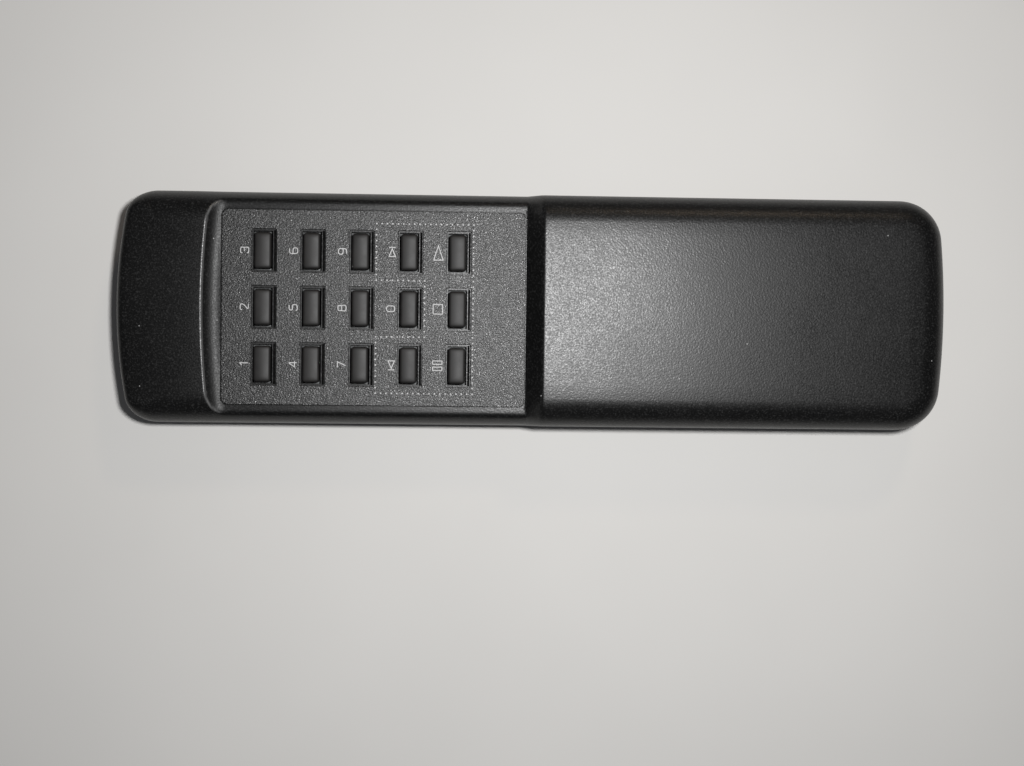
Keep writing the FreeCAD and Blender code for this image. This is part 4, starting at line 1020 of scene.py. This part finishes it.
def panel_plate(bm):
    """The key panel, whose holes reach further behind the keys than in front of them."""
    low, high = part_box("key_panel")
    holes = [key_frame(name, PANEL_HOLE_FRONT, PANEL_HOLE_REAR, PANEL_HOLE_SIDE) for name in ALL_KEYS]
    plate(bm, (low.x, low.y, high.x, high.y), holes, low.z, high.z, PANEL_BEVEL, PANEL_HOLE_BEVEL)


def cross_bar(bm, profile, y0, y1):
    """A bar across the case whose ends have the profile, a list of places in X and Z."""
    ends = [[bm.verts.new((x, y, z)) for x, z in profile] for y in (y0, y1)]
    bm.faces.new(ends[0])
    bm.faces.new(ends[1][::-1])
    join_rings(bm, ends[0], ends[1])


def collar(bm, name, base):
    """A low collar on the deck: a wall at each side of the key, and a sloping one behind it."""
    place = key_middle(name)
    top = base + COLLAR_HEIGHT
    front = place.x - KEY_HALF_X
    rear = place.x + KEY_HALF_X + KEY_GAP
    crest = rear + COLLAR_WALL
    inner = KEY_HALF_Y + KEY_GAP
    outer = inner + COLLAR_WALL
    slope = [(rear, base), (rear, top), (crest, top), (crest + COLLAR_SLOPE, base)]
    wall = [(front, base), (front, top), (rear, top), (rear, base)]
    cross_bar(bm, slope, place.y - outer, place.y + outer)
    cross_bar(bm, wall, place.y - outer, place.y - inner)
    cross_bar(bm, wall, place.y + inner, place.y + outer)


def deck_under_panel(bm):
    """The deck in the panel's recess, with a collar round each key."""
    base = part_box("key_panel")[0].z
    for name in ALL_KEYS:
        collar(bm, name, base)
    holes = [key_frame(name, KEY_GAP, KEY_GAP, KEY_GAP) for name in ALL_KEYS]
    plate(bm, recess(), holes, base - DECK_THICKNESS, base)


def cap_rings():
    """The rings of a key cap: each one's inset, and its drop below the crown or None at the base."""
    rings = [(0.0, None)]
    for angle in KEY_EDGE_ANGLES_DEG:
        turn = math.radians(angle)
        inset = KEY_EDGE_RADIUS * (1 - math.cos(turn))
        rings.append((inset, KEY_EDGE_RADIUS * (1 - math.sin(turn))))
    for inset in spaced(KEY_EDGE_RADIUS, KEY_HALF_X - KEY_LEAST_RING, KEY_RING_SPACING)[1:]:
        rings.append((inset, 0.0))
    return rings


def crown_drop(x, y):
    """How far a cap's top falls from its highest line, at a place measured from its middle."""
    into_end = max(0.0, abs(y) - KEY_HALF_Y + KEY_END_LENGTH) / KEY_END_LENGTH
    crown = KEY_CROWN_RADIUS - math.sqrt(KEY_CROWN_RADIUS ** 2 - x ** 2)
    return crown + KEY_END_DROP * into_end ** 2


def key_cap(name):
    """Builds a key: straight sides, a rounded rim, and a top that is crowned and falls at its ends."""
    low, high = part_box("key_" + name)
    centre = key_middle(name)

    def build(bm):
        rings = []
        for inset, drop in cap_rings():
            corner = max(KEY_CORNER - inset, KEY_LEAST_RING)
            loop = frame_path(*key_frame(name, -inset, -inset, -inset), corner)
            ring = []
            for place in divided(loop, KEY_SIDE_PARTS):
                z = low.z + KEY_BASE_RISE
                if drop is not None:
                    z = high.z - crown_drop(place.x - centre.x, place.y - centre.y) - drop
                ring.append(bm.verts.new((place.x, place.y, z)))
            rings.append(ring)
        for low_ring, high_ring in zip(rings, rings[1:]):
            join_rings(bm, low_ring, high_ring)
        bm.faces.new(rings[0][::-1])
        bm.faces.new(rings[-1])

    return build


def add_case(made):
    """The upper case, its panel and its keys as the photograph shows them, in place of the solids."""
    shell = new_piece("case_top", upper_shell, made["case_black"], False)
    shell.data.shade_smooth()
    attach(shell, "case")
    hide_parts("upper_case")
    deck = new_piece("key_collars", deck_under_panel, made["case_black"])
    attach(deck, "case")
    panel = new_piece("panel_plate", panel_plate, made["panel_black"])
    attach(panel, "case")
    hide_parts("key_panel")
    for name in ALL_KEYS:
        cap = new_piece("cap_" + name, key_cap(name), made["key_rubber"])
        cap.data.shade_smooth()
        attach(cap, "key_" + name)
        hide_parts("key_" + name)


def add_floor():
    """A wide pale floor."""
    n = Nodes("pale_floor")
    cloud = n.noise(FLOOR_CLOUD, 3.0, 0.5)
    darker = tuple(FLOOR_DARKER * level for level in FLOOR_COLOR)
    n.set(Base_Color=n.mix(n.spread(cloud), darker, FLOOR_COLOR), Roughness=FLOOR_ROUGHNESS)
    n.set(Normal=n.bump(n.noise(FLOOR_GRAIN, 3.0), FLOOR_GRAIN_DEPTH, 0.4))
    mesh = bpy.data.meshes.new("floor")
    corners = [(-1, -1), (1, -1), (1, 1), (-1, 1)]
    mesh.from_pydata([(x * FLOOR_HALF, y * FLOOR_HALF, 0) for x, y in corners], [], [(0, 1, 2, 3)])
    mesh.materials.append(n.material)
    floor = bpy.data.objects.new("floor", mesh)
    bpy.context.scene.collection.objects.link(floor)


def add_lamp(name, place, size, watts, color=(1.0, 1.0, 1.0)):
    """A round lamp that points at the middle of the object."""
    lamp = bpy.data.lights.new(name, "AREA")
    lamp.shape = "DISK"
    lamp.size = size
    lamp.energy = watts
    lamp.color = color
    thing = bpy.data.objects.new(name, lamp)
    thing.location = place
    thing.rotation_mode = "QUATERNION"
    thing.rotation_quaternion = (-place).to_track_quat("-Z", "Y")
    thing.visible_camera = False
    bpy.context.scene.collection.objects.link(thing)


def add_light():
    """The two lamps and the even light of the room."""
    add_lamp("key_light", KEY_LIGHT_PLACE, KEY_LIGHT_SIZE, KEY_LIGHT_WATTS)
    add_lamp("warm_light", WARM_LIGHT_PLACE, WARM_LIGHT_SIZE, WARM_LIGHT_WATTS, WARM_LIGHT_COLOR)
    world = bpy.data.worlds.new("room")
    world.use_nodes = True
    background = world.node_tree.nodes["Background"]
    background.inputs["Color"].default_value = ROOM_COLOR + (1.0,)
    background.inputs["Strength"].default_value = ROOM_STRENGTH
    bpy.context.scene.world = world


def add_camera():
    """The camera at the photograph's place and angle."""
    data = bpy.data.cameras.new("camera")
    data.sensor_fit = "HORIZONTAL"
    data.sensor_width = SENSOR_WIDTH_MM
    data.lens = FOCAL_PX / IMAGE_WIDTH_PX * SENSOR_WIDTH_MM
    data.clip_start = NEAREST_SEEN
    data.clip_end = FARTHEST_SEEN
    camera = bpy.data.objects.new("camera", data)
    camera.location = CAMERA_PLACE
    camera.rotation_euler = Euler([math.radians(angle) for angle in CAMERA_ANGLES_DEG], "XYZ")
    bpy.context.scene.collection.objects.link(camera)
    bpy.context.scene.camera = camera


add_camera()
add_light()
add_floor()
FINISHES = finishes()
dress(FINISHES)
add_case(FINISHES)
add_legends(white_ink())
bpy.context.scene.view_settings.view_transform = "Standard"
